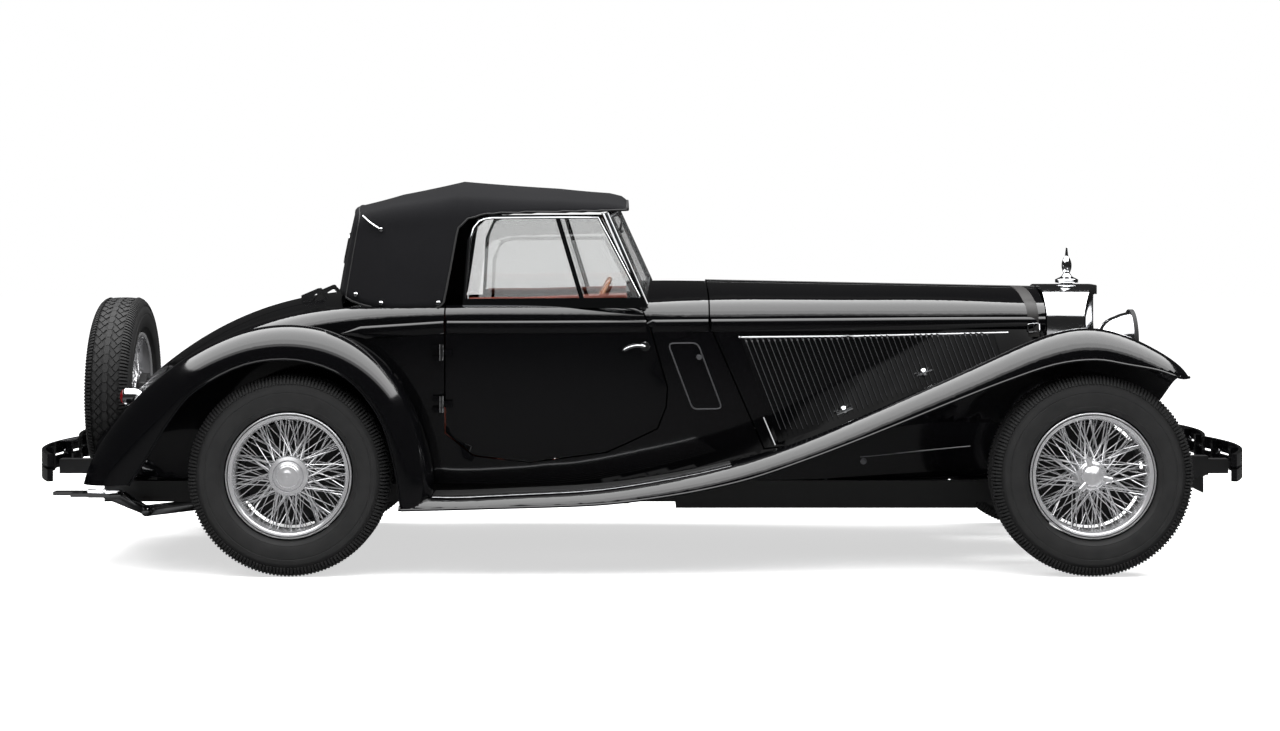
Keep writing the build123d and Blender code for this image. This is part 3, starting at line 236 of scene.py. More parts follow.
def safetyGlass():
    # clear laminated sheet glass
    return startMaterial("laminatedSheetGlass", {
        "Base Color": srgb("#e4e7e6"), "Roughness": 0.0, "IOR": 1.45, "Transmission Weight": 1.0,
        "Alpha": 0.28})[0]


def windowPlate():
    # nickelled window channel in a darker tone, beside the brighter beads
    return startMaterial("darkenedNickelPlate", {
        "Base Color": srgb("#56585a"), "Metallic": 1.0, "Roughness": 0.16})[0]


def proofedDuck():
    # rubber-proofed cotton duck: matt black, a plain weave that breaks up the sheen
    material, tree, shader = startMaterial("proofedCottonDuck", {
        "Base Color": srgb("#0e0e0f"), "Roughness": 0.95, "Specular IOR Level": 0.12})
    point = objectPoint(tree)
    thread = 2 * math.pi / 0.0024  # one thread pair every 2.4 mm, coarse enough to show
    waves = []
    for direction in ("X", "Z"):
        wave = addNode(tree, "ShaderNodeTexWave", {"bands_direction": direction, "Scale": thread / 20.0},
                       {"Vector": point})
        waves.append(wave.outputs["Fac"])
    weave = addNode(tree, "ShaderNodeMath", {"operation": "MULTIPLY"}, {0: waves[0], 1: waves[1]})
    cloud = addNode(tree, "ShaderNodeTexNoise", {"Scale": 4.0, "Detail": 4.0}, {"Vector": point})
    tone = addNode(tree, "ShaderNodeMix", {"data_type": "RGBA", "A": srgb("#0b0b0d"), "B": srgb("#131315")},
                   {"Factor": cloud.outputs[0]})
    tree.links.new(tone.outputs["Result"], shader.inputs["Base Color"])
    bump = addNode(tree, "ShaderNodeBump", {"Strength": 0.35, "Distance": 0.0006},
                   {"Height": weave.outputs[0]})
    tree.links.new(bump.outputs[0], shader.inputs["Normal"])
    return material


def tyreRubber():
    # moulded black rubber, a little dusty
    material, tree, shader = startMaterial("mouldedTyreRubber", {
        "Base Color": srgb("#1b1b1c"), "Roughness": 0.62, "Specular IOR Level": 0.30})
    noise = addNode(tree, "ShaderNodeTexNoise", {"Scale": 22.0, "Detail": 5.0}, {"Vector": objectPoint(tree)})
    tone = addNode(tree, "ShaderNodeMix", {"data_type": "RGBA", "A": srgb("#161617"), "B": srgb("#232323")},
                   {"Factor": noise.outputs[0]})
    tree.links.new(tone.outputs["Result"], shader.inputs["Base Color"])
    return material


def redLeather():
    # waxed hide, reddish brown, with a fine grain
    material, tree, shader = startMaterial("waxedBrownHide", {
        "Base Color": srgb("#6e2f1f"), "Roughness": 0.42})
    grain = addNode(tree, "ShaderNodeTexVoronoi", {"Scale": 420.0}, {"Vector": objectPoint(tree)})
    tone = addNode(tree, "ShaderNodeMix", {"data_type": "RGBA", "A": srgb("#5d2417"), "B": srgb("#7c3826")},
                   {"Factor": grain.outputs["Distance"]})
    tree.links.new(tone.outputs["Result"], shader.inputs["Base Color"])
    bump = addNode(tree, "ShaderNodeBump", {"Strength": 0.25, "Distance": 0.0008},
                   {"Height": grain.outputs["Distance"]})
    tree.links.new(bump.outputs[0], shader.inputs["Normal"])
    return material


def wheelWood():
    # varnished wood, grain along the rim's plane
    material, tree, shader = startMaterial("varnishedWalnut", {
        "Base Color": srgb("#8a4b28"), "Roughness": 0.25, "Coat Weight": 0.5, "Coat Roughness": 0.08})
    grain = addNode(tree, "ShaderNodeTexNoise", {"Scale": 18.0, "Detail": 6.0},
                    {"Vector": objectPoint(tree, (1, 8, 1))})
    tone = addNode(tree, "ShaderNodeMix", {"data_type": "RGBA", "A": srgb("#6b3519"), "B": srgb("#a6683a")},
                   {"Factor": grain.outputs[0]})
    tree.links.new(tone.outputs["Result"], shader.inputs["Base Color"])
    return material


def satinPlate():
    # chromed rim, hub and spokes, a little worn, so that they stay pale against the dark brake drum
    return startMaterial("wornChromePlate", {
        "Base Color": srgb("#d4d4d6"), "Metallic": 0.72, "Roughness": 0.24})[0]


def plainFinish(name, code, roughness):
    # small parts in one even tone, smooth enough to take a highlight where the roughness is low
    return startMaterial(name, {"Base Color": srgb(code), "Roughness": roughness})[0]


finishes = {
    "body_paint": blackEnamel(),
    "chassis_paint": chassisBlack(),
    "cast_metal": chassisBlack(),
    "bright_chrome": chromePlate(),
    "clear_glass": safetyGlass(),
    "hood_fabric": proofedDuck(),
    "seat_leather": redLeather(),
    "wood_trim": wheelWood(),
    "plate_black": chassisBlack(),
    "tyre_rubber": tyreRubber(),
    "wheelPlate": satinPlate(),
    "framePlate": windowPlate(),
    # grey lighter than the black paint, for the louvre edges, the vent bead and the sill strip: painted
    # highlight
    "louvreEdge": plainFinish("greyPaintedEdgeHighlight", "#3c3c3e", 0.22),
    # near-black matt rubber for the hood's binding and the lamp gaskets; on the tyres and rims the same
    # finish is painted shade in the grooves
    "rubberAndPaintedShade": plainFinish("darkRubberAndPaintedShade", "#0e0e0f", 0.7),
    "strap": plainFinish("oiledHarnessLeather", "#1a1817", 0.55),
    "ruby": plainFinish("rubyLampGlass", "#5a0508", 0.12),
}


def dressNodes():
    # every carried-over solid gets its finish and a weld that joins its loose facets
    slots = {entry["node"]: entry["material_slot"] for entry in frame["record"]["subparts"]}
    for name, node in nodes.items():
        node.data.materials.clear()
        finish = slots[name]
        if name.startswith("wheel_"):
            finish = "wheelPlate"
        elif name.startswith("window_frame"):
            finish = "framePlate"
        node.data.materials.append(finishes[finish])
        weld = node.modifiers.new("weldFacets", "WELD")
        weld.merge_threshold = 0.00002


dressNodes()
print("finishes on")

# shared shapes


def finishPiece(name, bm, material, node, smooth=True):
    # writes a bmesh as a piece at the origin that rides with the body of a CAD node
    mesh = bpy.data.meshes.new(name)
    for face in bm.faces:
        face.smooth = smooth
    bm.to_mesh(mesh)
    bm.free()
    mesh.materials.append(material)
    piece = bpy.data.objects.new(name, mesh)
    bpy.context.scene.collection.objects.link(piece)
    if smooth:
        mesh.set_sharp_from_angle(angle=math.radians(38))
    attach(piece, nodes[node]["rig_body"])
    return piece


def addLoop(bm, points):
    return [bm.verts.new(point) for point in points]


def bridge(bm, first, second, closed=True):
    # quads between two rows of vertices
    count = len(first)
    for i in range(count if closed else count - 1):
        j = (i + 1) % count
        bm.faces.new((first[i], first[j], second[j], second[i]))


def joinRings(bm, first, second):
    # wall between two rings made by the circle operator
    edges = set()
    for ring in (set(first), set(second)):
        edges |= {edge for v in ring for edge in v.link_edges if edge.other_vert(v) in ring}
    bmesh.ops.bridge_loops(bm, edges=list(edges))


def addTube(bm, points, radius, sides=8, flat=1.0, guide=None):
    # capped bar along a path; flat squeezes it along its second direction, guide holds the first one square
    path = [Vector(p) for p in points]
    previous, side = None, None
    for i, point in enumerate(path):
        along = (path[min(i + 1, len(path) - 1)] - path[max(i - 1, 0)]).normalized()
        if guide is not None:
            side = along.cross(Vector(guide)).normalized()
        elif side is None:
            side = along.orthogonal().normalized()
        else:
            side = (side - along * side.dot(along)).normalized()
        other = along.cross(side)
        place = Matrix((-other * flat, side, along)).transposed().to_4x4()
        place.translation = point
        atEnd = i in (0, len(path) - 1)
        circle = bmesh.ops.create_circle(bm, segments=sides, radius=radius, cap_ends=atEnd, matrix=place)
        ring = circle["verts"]
        if previous:
            joinRings(bm, previous, ring)
        previous = ring


def addLathe(bm, profile, centre, axis, steps=32):
    # (distance along the axis, radius) pairs spun about an axis
    axis, centre = Vector(axis).normalized(), Vector(centre)
    side = axis.orthogonal().normalized()
    outline = [bm.verts.new(centre + axis * along + side * radius) for along, radius in profile]
    edges = [bm.edges.new(pair) for pair in zip(outline, outline[1:])]
    bmesh.ops.spin(bm, geom=outline + edges, cent=centre, axis=axis, angle=2 * math.pi, steps=steps,
                   use_merge=True)


def closed(outline):
    return outline + outline[:1]


def addBox(bm, low, high, bevel=0.0, turn=None):
    # box between two corners, its edges softened by bevel, turned about its own middle
    made = bmesh.ops.create_cube(bm, size=1.0)["verts"]
    low, high = Vector(low), Vector(high)
    bmesh.ops.scale(bm, vec=high - low, verts=made)
    if bevel:
        edges = list({e for v in made for e in v.link_edges})
        bent = bmesh.ops.bevel(bm, geom=edges, offset=bevel, segments=2, affect="EDGES", profile=0.5,
                               material=-1)
        made = list({v for f in bent["faces"] for v in f.verts} | {v for v in made if v.is_valid})
    if turn is not None:
        bmesh.ops.rotate(bm, cent=(0, 0, 0), matrix=turn, verts=made)
    bmesh.ops.translate(bm, vec=(low + high) / 2, verts=made)


def mendNormals(bm):
    bmesh.ops.remove_doubles(bm, verts=bm.verts[:], dist=0.00001)
    bmesh.ops.recalc_face_normals(bm, faces=bm.faces[:])


def makeBoth(name, build, material, node, smooth=True):
    # one piece for each side of the car; {} in a name stands for the side's word
    for side, word in ((1, "left"), (-1, "right")):
        bm = bmesh.new()
        build(bm, side)
        mendNormals(bm)
        finishPiece(name.format(word.capitalize()), bm, material, node.format(word), smooth)


skins = {}


def skinOf(node):
    # search tree over a CAD node's faces
    if node not in skins:
        bm = bmesh.new()
        bm.from_mesh(nodes[node].data)
        bmesh.ops.transform(bm, matrix=nodes[node].matrix_world, verts=bm.verts[:])
        skins[node] = BVHTree.FromBMesh(bm)
        bm.free()
    return skins[node]


def sideHit(node, x, z, side, reach=1.3):
    # where a level ray from outside meets the node, with the outward direction there
    start, inward = Vector((x, side * reach, z)), Vector((0, -side, 0))
    place, normal = skinOf(node).ray_cast(start, inward)[:2]
    if place is None:
        return None, None
    return place, normal if normal.y * side > 0 else -normal


def topHit(node, x, y, height=2.0):
    # where an upright ray from above meets the node
    return skinOf(node).ray_cast(Vector((x, y, height)), Vector((0, 0, -1)))[0]


def runOnSide(node, places, side, proud=0.0):
    # path over a node's side through (x, z) places, lifted off the surface by proud
    path = []
    for x, z in places:
        hit, out = sideHit(node, x, z, side)
        if hit is not None:
            path.append(hit + out * proud)
    return path


def stepped(places, pitch):
    # the same path with a place at every pitch
    fine = [Vector(places[0])]
    for a, b in zip(places, places[1:]):
        a, b = Vector(a), Vector(b)
        count = max(1, round((b - a).length / pitch))
        fine += [a.lerp(b, k / count) for k in range(1, count + 1)]
    return fine


# tyres
tyre = {
    # paintedShadeRadius: carcass faces reaching beyond it are painted darker as shade in the rib grooves
    "sides": 160, "treadLift": 0.0048, "diamonds": 62, "shoulderRibs": 168, "paintedShadeRadius": 0.334,
    # carcass from the tread's middle to the bead: distance from the middle, radius, in metres
    "profile": [(0.0, 0.3702), (0.034, 0.3690), (0.058, 0.3652), (0.0685, 0.3582), (0.0765, 0.3490),
                (0.0824, 0.3380), (0.0860, 0.3285), (0.0886, 0.3180), (0.0892, 0.3112), (0.0882, 0.3100),
                (0.0882, 0.3072), (0.0894, 0.3060), (0.0899, 0.3000), (0.0893, 0.2850),
                (0.0868, 0.2680), (0.0834, 0.2595), (0.0840, 0.2580), (0.0798, 0.2540), (0.0733, 0.2475),
                (0.0690, 0.2400)],
    # rows of diamonds beside the centre rib: nearest and farthest edge from the middle, offset in pitches
    "rows": [(0.0115, 0.0375, 0.5), (0.0265, 0.0525, 0.0)],
    "centreRib": (0.0070, 0.0122, 0.49),  # half width at its waists and peaks, reach in pitches
    "diamondReach": 0.43, "ribHalf": 0.27, "ribLift": 0.0090,
    "shoulderStops": (0.0545, 0.063, 0.072, 0.081, 0.0885, 0.0935),
}


def tyrePoint(across, lift):
    # (distance from the middle, radius) at a distance measured along the tread, raised by lift
    distance, sign = abs(across), 1 if across >= 0 else -1
    half = tyre["profile"][:7]
    for (a, ra), (b, rb) in zip(half, half[1:]):
        run = math.hypot(b - a, rb - ra)
        if distance <= run or (b, rb) == half[-1]:
            t = distance / run
            outward, radial = -(rb - ra) / run, (b - a) / run
            return sign * (a + (b - a) * t + outward * lift), ra + (rb - ra) * t + radial * lift
        distance -= run


def addTreadBlock(bm, corners, lift, inset):
    # corners: (angle, distance across); the block's top is a little smaller than its foot
    middle = [sum(c[k] for c in corners) / len(corners) for k in (0, 1)]
    rings = []
    for height, shrink in ((-0.0006, 1.0), (lift, 1.0 - inset)):
        row = []
        for angle, across in corners:
            a = middle[0] + (angle - middle[0]) * shrink
            y, r = tyrePoint(middle[1] + (across - middle[1]) * shrink, height)
            row.append((r * math.cos(a), y, r * math.sin(a)))
        rings.append(addLoop(bm, row))
    bridge(bm, rings[0], rings[1])
    bm.faces.new(rings[1])


def repeatRound(bm, block, count):
    # spins copies of one block's mesh round the tyre's axle and joins them to the tyre
    bmesh.ops.spin(block, geom=block.verts[:] + block.edges[:] + block.faces[:], cent=(0, 0, 0),
                   axis=(0, 1, 0), angle=2 * math.pi * (count - 1) / count, steps=count - 1,
                   use_duplicate=True)
    mesh = bpy.data.meshes.new("blocks")
    block.to_mesh(mesh)
    block.free()
    bm.from_mesh(mesh)
    bpy.data.meshes.remove(mesh)


def addTread(bm):
    # zigzag centre rib with diamonds on both sides
    block, pitch = bmesh.new(), 2 * math.pi / tyre["diamonds"]
    edge, peak, reach = tyre["centreRib"]
    reach *= pitch
    corners = [(-reach, edge), (0, peak), (reach, edge), (reach, -edge), (0, -peak), (-reach, -edge)]
    addTreadBlock(block, corners, tyre["treadLift"], 0.03)
    reach = tyre["diamondReach"] * pitch
    for side in (1, -1):
        for low, high, offset in tyre["rows"]:
            centre, mid = offset * pitch, (low + high) / 2
            corners = [(centre - reach, side * mid), (centre, side * high), (centre + reach, side * mid),
                       (centre, side * low)]
            addTreadBlock(block, corners, tyre["treadLift"], 0.07)
    repeatRound(bm, block, tyre["diamonds"])


def addShoulders(bm):
    # ribs that run over the tyre's shoulders and fade into its walls
    block, pitch = bmesh.new(), 2 * math.pi / tyre["shoulderRibs"]
    half, stops = tyre["ribHalf"] * pitch, tyre["shoulderStops"]
    for side in (1, -1):
        for j, (low, high) in enumerate(zip(stops, stops[1:])):
            corners = [(-half, side * low), (half, side * low), (half, side * high), (-half, side * high)]
            addTreadBlock(block, corners, tyre["ribLift"] * (1 - j / 9), 0.0)
    repeatRound(bm, block, tyre["shoulderRibs"])


def makeTyre():
    # carcass with thin ridges on its walls, about the Y axis
    bm = bmesh.new()
    half = tyre["profile"]
    outline = [(-y, r) for y, r in reversed(half[1:])] + half
    addLathe(bm, closed(outline), (0, 0, 0), (0, 1, 0), tyre["sides"])
    mendNormals(bm)
    for face in bm.faces:
        # the carcass out in the grooves between the shoulder ribs takes the darker second finish: painted
        # shade
        reach = max(math.hypot(v.co.x, v.co.z) for v in face.verts)
        face.material_index = 1 if reach > tyre["paintedShadeRadius"] else 0
    addTread(bm)
    addShoulders(bm)
    bmesh.ops.recalc_face_normals(bm, faces=bm.faces[:])
    return bm


def fitTyres():
    # the same tyre at each wheel and on the spare, placed in its own mesh
    moulded = makeTyre()
    for name in sorted(n for n in nodes if n.startswith("tyre_")):
        low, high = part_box(name)
        turn = Matrix.Rotation(math.radians(90), 4, "Z") if name == "tyre_spare" else Matrix.Identity(4)
        bm = moulded.copy()
        bmesh.ops.transform(bm, matrix=Matrix.Translation((low + high) / 2) @ turn, verts=bm.verts[:])
        piece = finishPiece(name + "Moulded", bm, finishes["tyre_rubber"], name)
        # second slot: near-black rubber painted into the rib grooves as shade
        piece.data.materials.append(finishes["rubberAndPaintedShade"])
        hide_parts(name)
    moulded.free()


fitTyres()
print("tyres fitted")

# wheels
wheel = {
    "drum": [(-0.0695, 0.030), (-0.0695, 0.196), (-0.0440, 0.196), (-0.0440, 0.188), (-0.0580, 0.184),
             (-0.0580, 0.066), (-0.0640, 0.062), (-0.0640, 0.030)],
    # rows of crossed spokes: start along the axle, start radius, end along the axle, number, lean in degrees
    "rows": [(0.044, 0.048, -0.004, 40, 44), (-0.052, 0.056, 0.030, 32, 58)],
    "spokeRadius": 0.0019, "headRadius": 0.2075,
    "ring": [(0.052, 0.056), (0.058, 0.0735), (0.066, 0.0745), (0.073, 0.071), (0.078, 0.060),
             (0.083, 0.0575), (0.074, 0.0565)],
    "ears": 3, "earTurn": 0.3, "earRadius": 0.0105,
    "earPath": [(0.070, 0.022), (0.080, 0.049), (0.082, 0.070)],  # along the axle, from the axle
    # rimGrooveShade: thin near-black ring on the rim's face, painted shade for the groove there
    "rimGrooveShade": [(0.0750, 0.2282), (0.0768, 0.2278), (0.0770, 0.2250), (0.0752, 0.2242)],
    "rimLine": [(0.0705, 0.2315), (0.0745, 0.2300), (0.0760, 0.2255), (0.0745, 0.2215), (0.0705, 0.2200)],
}


def wheelFrame(name):
    # middle, outward axle direction, up and forward of a wheel
    low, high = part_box(name)
    middle = (low + high) / 2
    if name == "wheel_spare":
        x = (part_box("tyre_spare")[0].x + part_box("tyre_spare")[1].x) / 2
        return Vector((x, middle.y, middle.z)), Vector((-1, 0, 0))
    tyreLow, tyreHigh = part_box(name.replace("wheel", "tyre"))
    side = 1 if middle.y > 0 else -1
    return Vector((middle.x, (tyreLow.y + tyreHigh.y) / 2, middle.z)), Vector((0, side, 0))


def addSpokes(bm, middle, out):
    up = Vector((0, 0, 1))
    ahead = out.cross(up)
    for startAlong, startRadius, endAlong, count, lean in wheel["rows"]:
        for k in range(count):
            foot = 2 * math.pi * k / count
            head = foot + math.radians(lean if k % 2 else -lean)
            a = middle + out * startAlong + (up * math.cos(foot) + ahead * math.sin(foot)) * startRadius
            b = middle + out * endAlong + (up * math.cos(head) + ahead * math.sin(head)) * wheel["headRadius"]
            addTube(bm, [a, b], wheel["spokeRadius"], 5)


def addEars(bm, middle, out):
    # plain three-eared knock-off nut
    up = Vector((0, 0, 1))
    ahead = out.cross(up)
    for k in range(wheel["ears"]):
        angle = 2 * math.pi * k / wheel["ears"] + wheel["earTurn"]
        away = up * math.cos(angle) + ahead * math.sin(angle)
        addTube(bm, [middle + out * along + away * reach for along, reach in wheel["earPath"]],
                wheel["earRadius"], 10, 0.55, out)


def fitWheels():
    for name in sorted(n for n in nodes if n.startswith("wheel_")):
        middle, out = wheelFrame(name)
        bm = bmesh.new()
        addSpokes(bm, middle, out)
        addLathe(bm, closed(wheel["rimLine"]), middle, out, 96)
        if "rear" in name:
            addLathe(bm, closed(wheel["ring"]), middle, out, 48)
        else:
            addEars(bm, middle, out)
        mendNormals(bm)
        finishPiece(name + "Spokes", bm, finishes["wheelPlate"], name)
        # near-black ring in the rim's groove: painted shade
        bm = bmesh.new()
        addLathe(bm, closed(wheel["rimGrooveShade"]), middle, out, 96)
        mendNormals(bm)
        finishPiece(name + "RimGroovePaintedShade", bm, finishes["rubberAndPaintedShade"], name)
        if name != "wheel_spare":
            bm = bmesh.new()
            addLathe(bm, closed(wheel["drum"]), middle, out, 72)
            mendNormals(bm)
            finishPiece(name + "Drum", bm, finishes["cast_metal"], name)


fitWheels()
print("wheels laced")

# hood
hood = {
    # x, half width at the foot, half width at the eaves, eaves height, crown height, in metres
    "bows": [(-0.058, 0.596, 0.516, 1.352, 1.402), (-0.080, 0.599, 0.518, 1.354, 1.420),
             (-0.125, 0.604, 0.522, 1.356, 1.432), (-0.330, 0.626, 0.534, 1.360, 1.450),
             (-0.713, 0.648, 0.540, 1.360, 1.478), (-0.955, 0.634, 0.530, 1.340, 1.4265),
             (-1.126, 0.574, 0.478, 1.330, 1.382)],
    "footHeight": 0.960,
    # lower edge of the cloth in side view, from the windscreen back to the rear corner
    "lowerEdge": [(-0.052, 1.368), (-0.161, 1.364), (-0.545, 1.356), (-0.622, 1.347), (-0.676, 1.328),
                  (-0.703, 1.289), (-0.726, 1.147), (-0.749, 1.013), (-0.772, 0.986), (-0.913, 0.978),
                  (-0.995, 0.986), (-1.060, 1.000), (-1.106, 1.016), (-1.126, 1.030)],
    "backFoot": (-1.208, 1.037), "backTop": (-1.140, 1.376),
    "backBow": 0.064, "backHalf": 0.560,  # how far forward the back's corners lie, and where they are
    "lastBow": -0.955, "sideEnd": -1.124, "cornerRound": 0.016,
    "windowHalf": 0.225, "windowLow": 1.152, "windowHigh": 1.268,
    "sag": 0.0015, "thickness": 0.0035, "inside": 0.002,
    "flatCut": (1.95, 1.45), "cutArea": 1.80,  # width, length and area of the cloth as cut
    "pitch": 0.024,  # between the stations along the car, with more where the edge rises to the eaves
    "moreStations": {-0.064, -0.070, -0.700, -0.707, -0.714, -0.721, -0.728, -0.735, -0.742, -0.750},
    # rings that turn the cloth from its sides to its back: how far forward, and their size
    "turnRings": [(0.0095, 0.994), (0.004, 0.985), (0.001, 0.973)],
    "backRings": 8, "backLift": 0.003, "footParts": 16,
    "bindingRadius": 0.0040, "rearBindingRadius": 0.0026, "windowFrameRadius": 0.0042,
    "quarterStrip": [(-1.072, 1.338), (-1.048, 1.318), (-1.022, 1.300), (-0.997, 1.286)],
    "stripRadius": 0.0032,
    "stripStud": [(-0.003, 0.008), (0.004, 0.008), (0.006, 0.004), (0.007, 0.0)],
}


def between(table, x, column):
    # straight-line reading of a table along its first column
    rows = sorted(table)
    if x <= rows[0][0]:
        return rows[0][column]
    for a, b in zip(rows, rows[1:]):
        if x <= b[0]:
            return a[column] + (b[column] - a[column]) * (x - a[0]) / (b[0] - a[0])
    return rows[-1][column]


def arcThrough(start, middle, end, count):
    # places on the circle through three places, from start to end
    (ax, ay), (bx, by), (cx, cy) = start, middle, end
    d = 2 * (ax * (by - cy) + bx * (cy - ay) + cx * (ay - by))
    ux = ((ax**2 + ay**2) * (by - cy) + (bx**2 + by**2) * (cy - ay) + (cx**2 + cy**2) * (ay - by)) / d
    uy = ((ax**2 + ay**2) * (cx - bx) + (bx**2 + by**2) * (ax - cx) + (cx**2 + cy**2) * (bx - ax)) / d
    radius = math.hypot(ax - ux, ay - uy)
    first, mid, last = (math.atan2(y - uy, x - ux) for x, y in (start, middle, end))
    sweep = (last - first) % (2 * math.pi)
    if (mid - first) % (2 * math.pi) > sweep:
        sweep -= 2 * math.pi
    turns = [first + sweep * k / count for k in range(count + 1)]
    return [(ux + radius * math.cos(turn), uy + radius * math.sin(turn)) for turn in turns]


def hoodHalf(x):
    # (half width, height) from the cloth's lower edge over the eaves to the crown,
    # just inside the hood's form
    low, eave, eaveZ, crownZ = (between(hood["bows"], x, column) for column in (1, 2, 3, 4))
    inside = hood["inside"]
    low, eave, crownZ = low - inside, eave - inside, crownZ - inside
    xs = sorted(row[0] for row in hood["bows"])
    for a, b in zip(xs, xs[1:]):
        if a < x < b:
            t = (x - a) / (b - a)
            crownZ -= hood["sag"] * 4 * t * (1 - t) * min(1, (b - a) / 0.25)
    top = (eave + 0.006, eaveZ - 0.050)
    roofEdge = (eave - 0.060, eaveZ + 0.42 * (crownZ - eaveZ))
    eaves = arcThrough(top, (eave - 0.012, eaveZ), roofEdge, 24)
    edgeZ = between(hood["lowerEdge"], x, 1)
    if edgeZ < top[1]:
        foot = (low + (top[0] - low) * (edgeZ - hood["footHeight"]) / (top[1] - hood["footHeight"]), edgeZ)
        side = [tuple(start + (end - start) * k / 10 for start, end in zip(foot, top)) for k in range(10)]
        eaves = eaves[::4]
    else:
        start = min(range(20), key=lambda k: abs(eaves[k][1] - edgeZ))
        rest = eaves[start:]
        places = [rest[0]] + [rest[round((len(rest) - 1) * k / 6)] for k in range(1, 7)]
        side = [(places[0][0] + 0.00015 * (10 - k), places[0][1] - 0.0006 * (10 - k)) for k in range(10)]
        eaves = places
    roof = arcThrough(roofEdge, (0.0, crownZ), (-roofEdge[0], roofEdge[1]), 28)[1:15]
    return side + eaves + roof


def onBack(y, z, forward=0.0):
    # place on the hood's leaning back panel
    (footX, footZ), (topX, topZ) = hood["backFoot"], hood["backTop"]
    x = footX + (z - footZ) * (topX - footX) / (topZ - footZ) + hood["backBow"] * (y / hood["backHalf"])**2
    return Vector((x + forward + hood["inside"], y, z))


def sideToBack(x, y, z):
    # behind the last bow the cloth runs out to the bowed back panel
    if x >= hood["lastBow"]:
        return (x, y, z)
    end = onBack(y, z).x + hood["cornerRound"]
    t = (x - hood["lastBow"]) / (hood["sideEnd"] - hood["lastBow"])
    return (hood["lastBow"] + t * (end - hood["lastBow"]), y, z)


def makeHood():
    # one cloth: over the bows from the windscreen back, then down the back panel round its window
    bm = bmesh.new()
    front, back = hood["bows"][0][0], hood["sideEnd"]
    count = round((front - back) / hood["pitch"])
    stations = {round(front - (front - back) * k / count, 4) for k in range(count + 1)}
    rows = []
    for x in sorted(stations | hood["moreStations"], reverse=True):
        half = [sideToBack(x, y, z) for y, z in hoodHalf(x)]
        rows.append(addLoop(bm, half + [(a, -y, z) for a, y, z in reversed(half[:-1])]))
    for first, second in zip(rows, rows[1:]):
        bridge(bm, first, second, closed=False)
    last = [v.co.copy() for v in rows[-1]]
    previous = rows[-1]
    footZ = hood["backFoot"][1]
    for forward, shrink in hood["turnRings"]:
        ring = addLoop(bm, [onBack(p.y * shrink, footZ + max((p.z - footZ) * shrink, 0.0), forward)
                            for p in last])
        bridge(bm, previous, ring, closed=False)
        previous = ring
    # the back panel is a closed ring of cloth, from its outline in to the window
    arc = [v.co.copy() for v in previous]
    footLine = [arc[-1].lerp(arc[0], k / hood["footParts"]) for k in range(1, hood["footParts"])]
    outline = previous + addLoop(bm, footLine)
    middleZ = (hood["windowLow"] + hood["windowHigh"]) / 2
    halfZ = (hood["windowHigh"] - hood["windowLow"]) / 2
    opening = []
    for v in outline:
        # towards the window's rounded rectangle, along the direction from its middle
        y, z = v.co.y, v.co.z - middleZ
        scale = 1 / max((abs(y) / hood["windowHalf"])**8 + (abs(z) / halfZ)**8, 1e-9)**0.125
        opening.append(onBack(y * scale, middleZ + z * scale))
    rim = [v.co.copy() for v in outline]
    ringBefore = outline
    for step in range(1, hood["backRings"] + 1):
        t = step / hood["backRings"]
        places = [a.lerp(b, t) for a, b in zip(rim, opening)]
        ring = addLoop(bm, [onBack(p.y, p.z, hood["backLift"] * (1 - t)) for p in places])
        bridge(bm, ringBefore, ring)
        ringBefore = ring
    bmesh.ops.recalc_face_normals(bm, faces=bm.faces[:])
    if sum(f.normal.z * f.calc_area() for f in bm.faces) < 0:
        bmesh.ops.reverse_faces(bm, faces=bm.faces[:])
    edges = ([row[0].co.copy() for row in rows], [v.co.copy() for v in rows[0]],
             opening, [row[-1].co.copy() for row in rows], last)
    return bm, edges


def trimHood(edges):
    # bound edges and the glass of the back window
    leftEdge, frontEdge, opening, rightEdge, rearEdge = edges
    pieces = []
    bm = bmesh.new()
    for path in (leftEdge, rightEdge):
        addTube(bm, path, hood["bindingRadius"], 6)
    addTube(bm, frontEdge, hood["bindingRadius"], 6)
    addTube(bm, rearEdge, hood["rearBindingRadius"], 6)
    mendNormals(bm)
    pieces.append(finishPiece("hoodBinding", bm, finishes["rubberAndPaintedShade"], "soft_top"))
    bm = bmesh.new()
    for side in (1, -1):
        path = runOnSide("soft_top", hood["quarterStrip"], side, 0.0012)
        if len(path) > 1:
            addTube(bm, path, hood["stripRadius"], 8)
            addLathe(bm, hood["stripStud"], path[-1], (0, side, 0), 16)
    mendNormals(bm)
    pieces.append(finishPiece("quarterStrips", bm, finishes["bright_chrome"], "soft_top"))
    bm = bmesh.new()
    loop = opening + opening[:2]
    addTube(bm, [p + Vector((-0.001, 0, 0)) for p in loop], hood["windowFrameRadius"], 8)
    mendNormals(bm)
    pieces.append(finishPiece("backWindowFrame", bm, finishes["bright_chrome"], "soft_top"))
    bm = bmesh.new()
    outer = addLoop(bm, [p + Vector((-0.0018, 0, 0)) for p in opening])
    inner = addLoop(bm, [p + Vector((0.0018, 0, 0)) for p in opening])
    bridge(bm, outer, inner)
    bm.faces.new(outer)
    bm.faces.new(list(reversed(inner)))
    mendNormals(bm)
    pieces.append(finishPiece("backWindowPane", bm, finishes["clear_glass"], "soft_top",
                              smooth=False))
    return pieces


def fitHood():
    bm, edges = makeHood()
    cloth = finishPiece("hoodCloth", bm, finishes["hood_fabric"], "soft_top")
    wall = cloth.modifiers.new("wall", "SOLIDIFY")
    wall.thickness = hood["thickness"]
    wall.offset = -1.0
    extras = trimHood(edges)
    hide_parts("soft_top")


fitHood()
print("hood stretched over its bows")

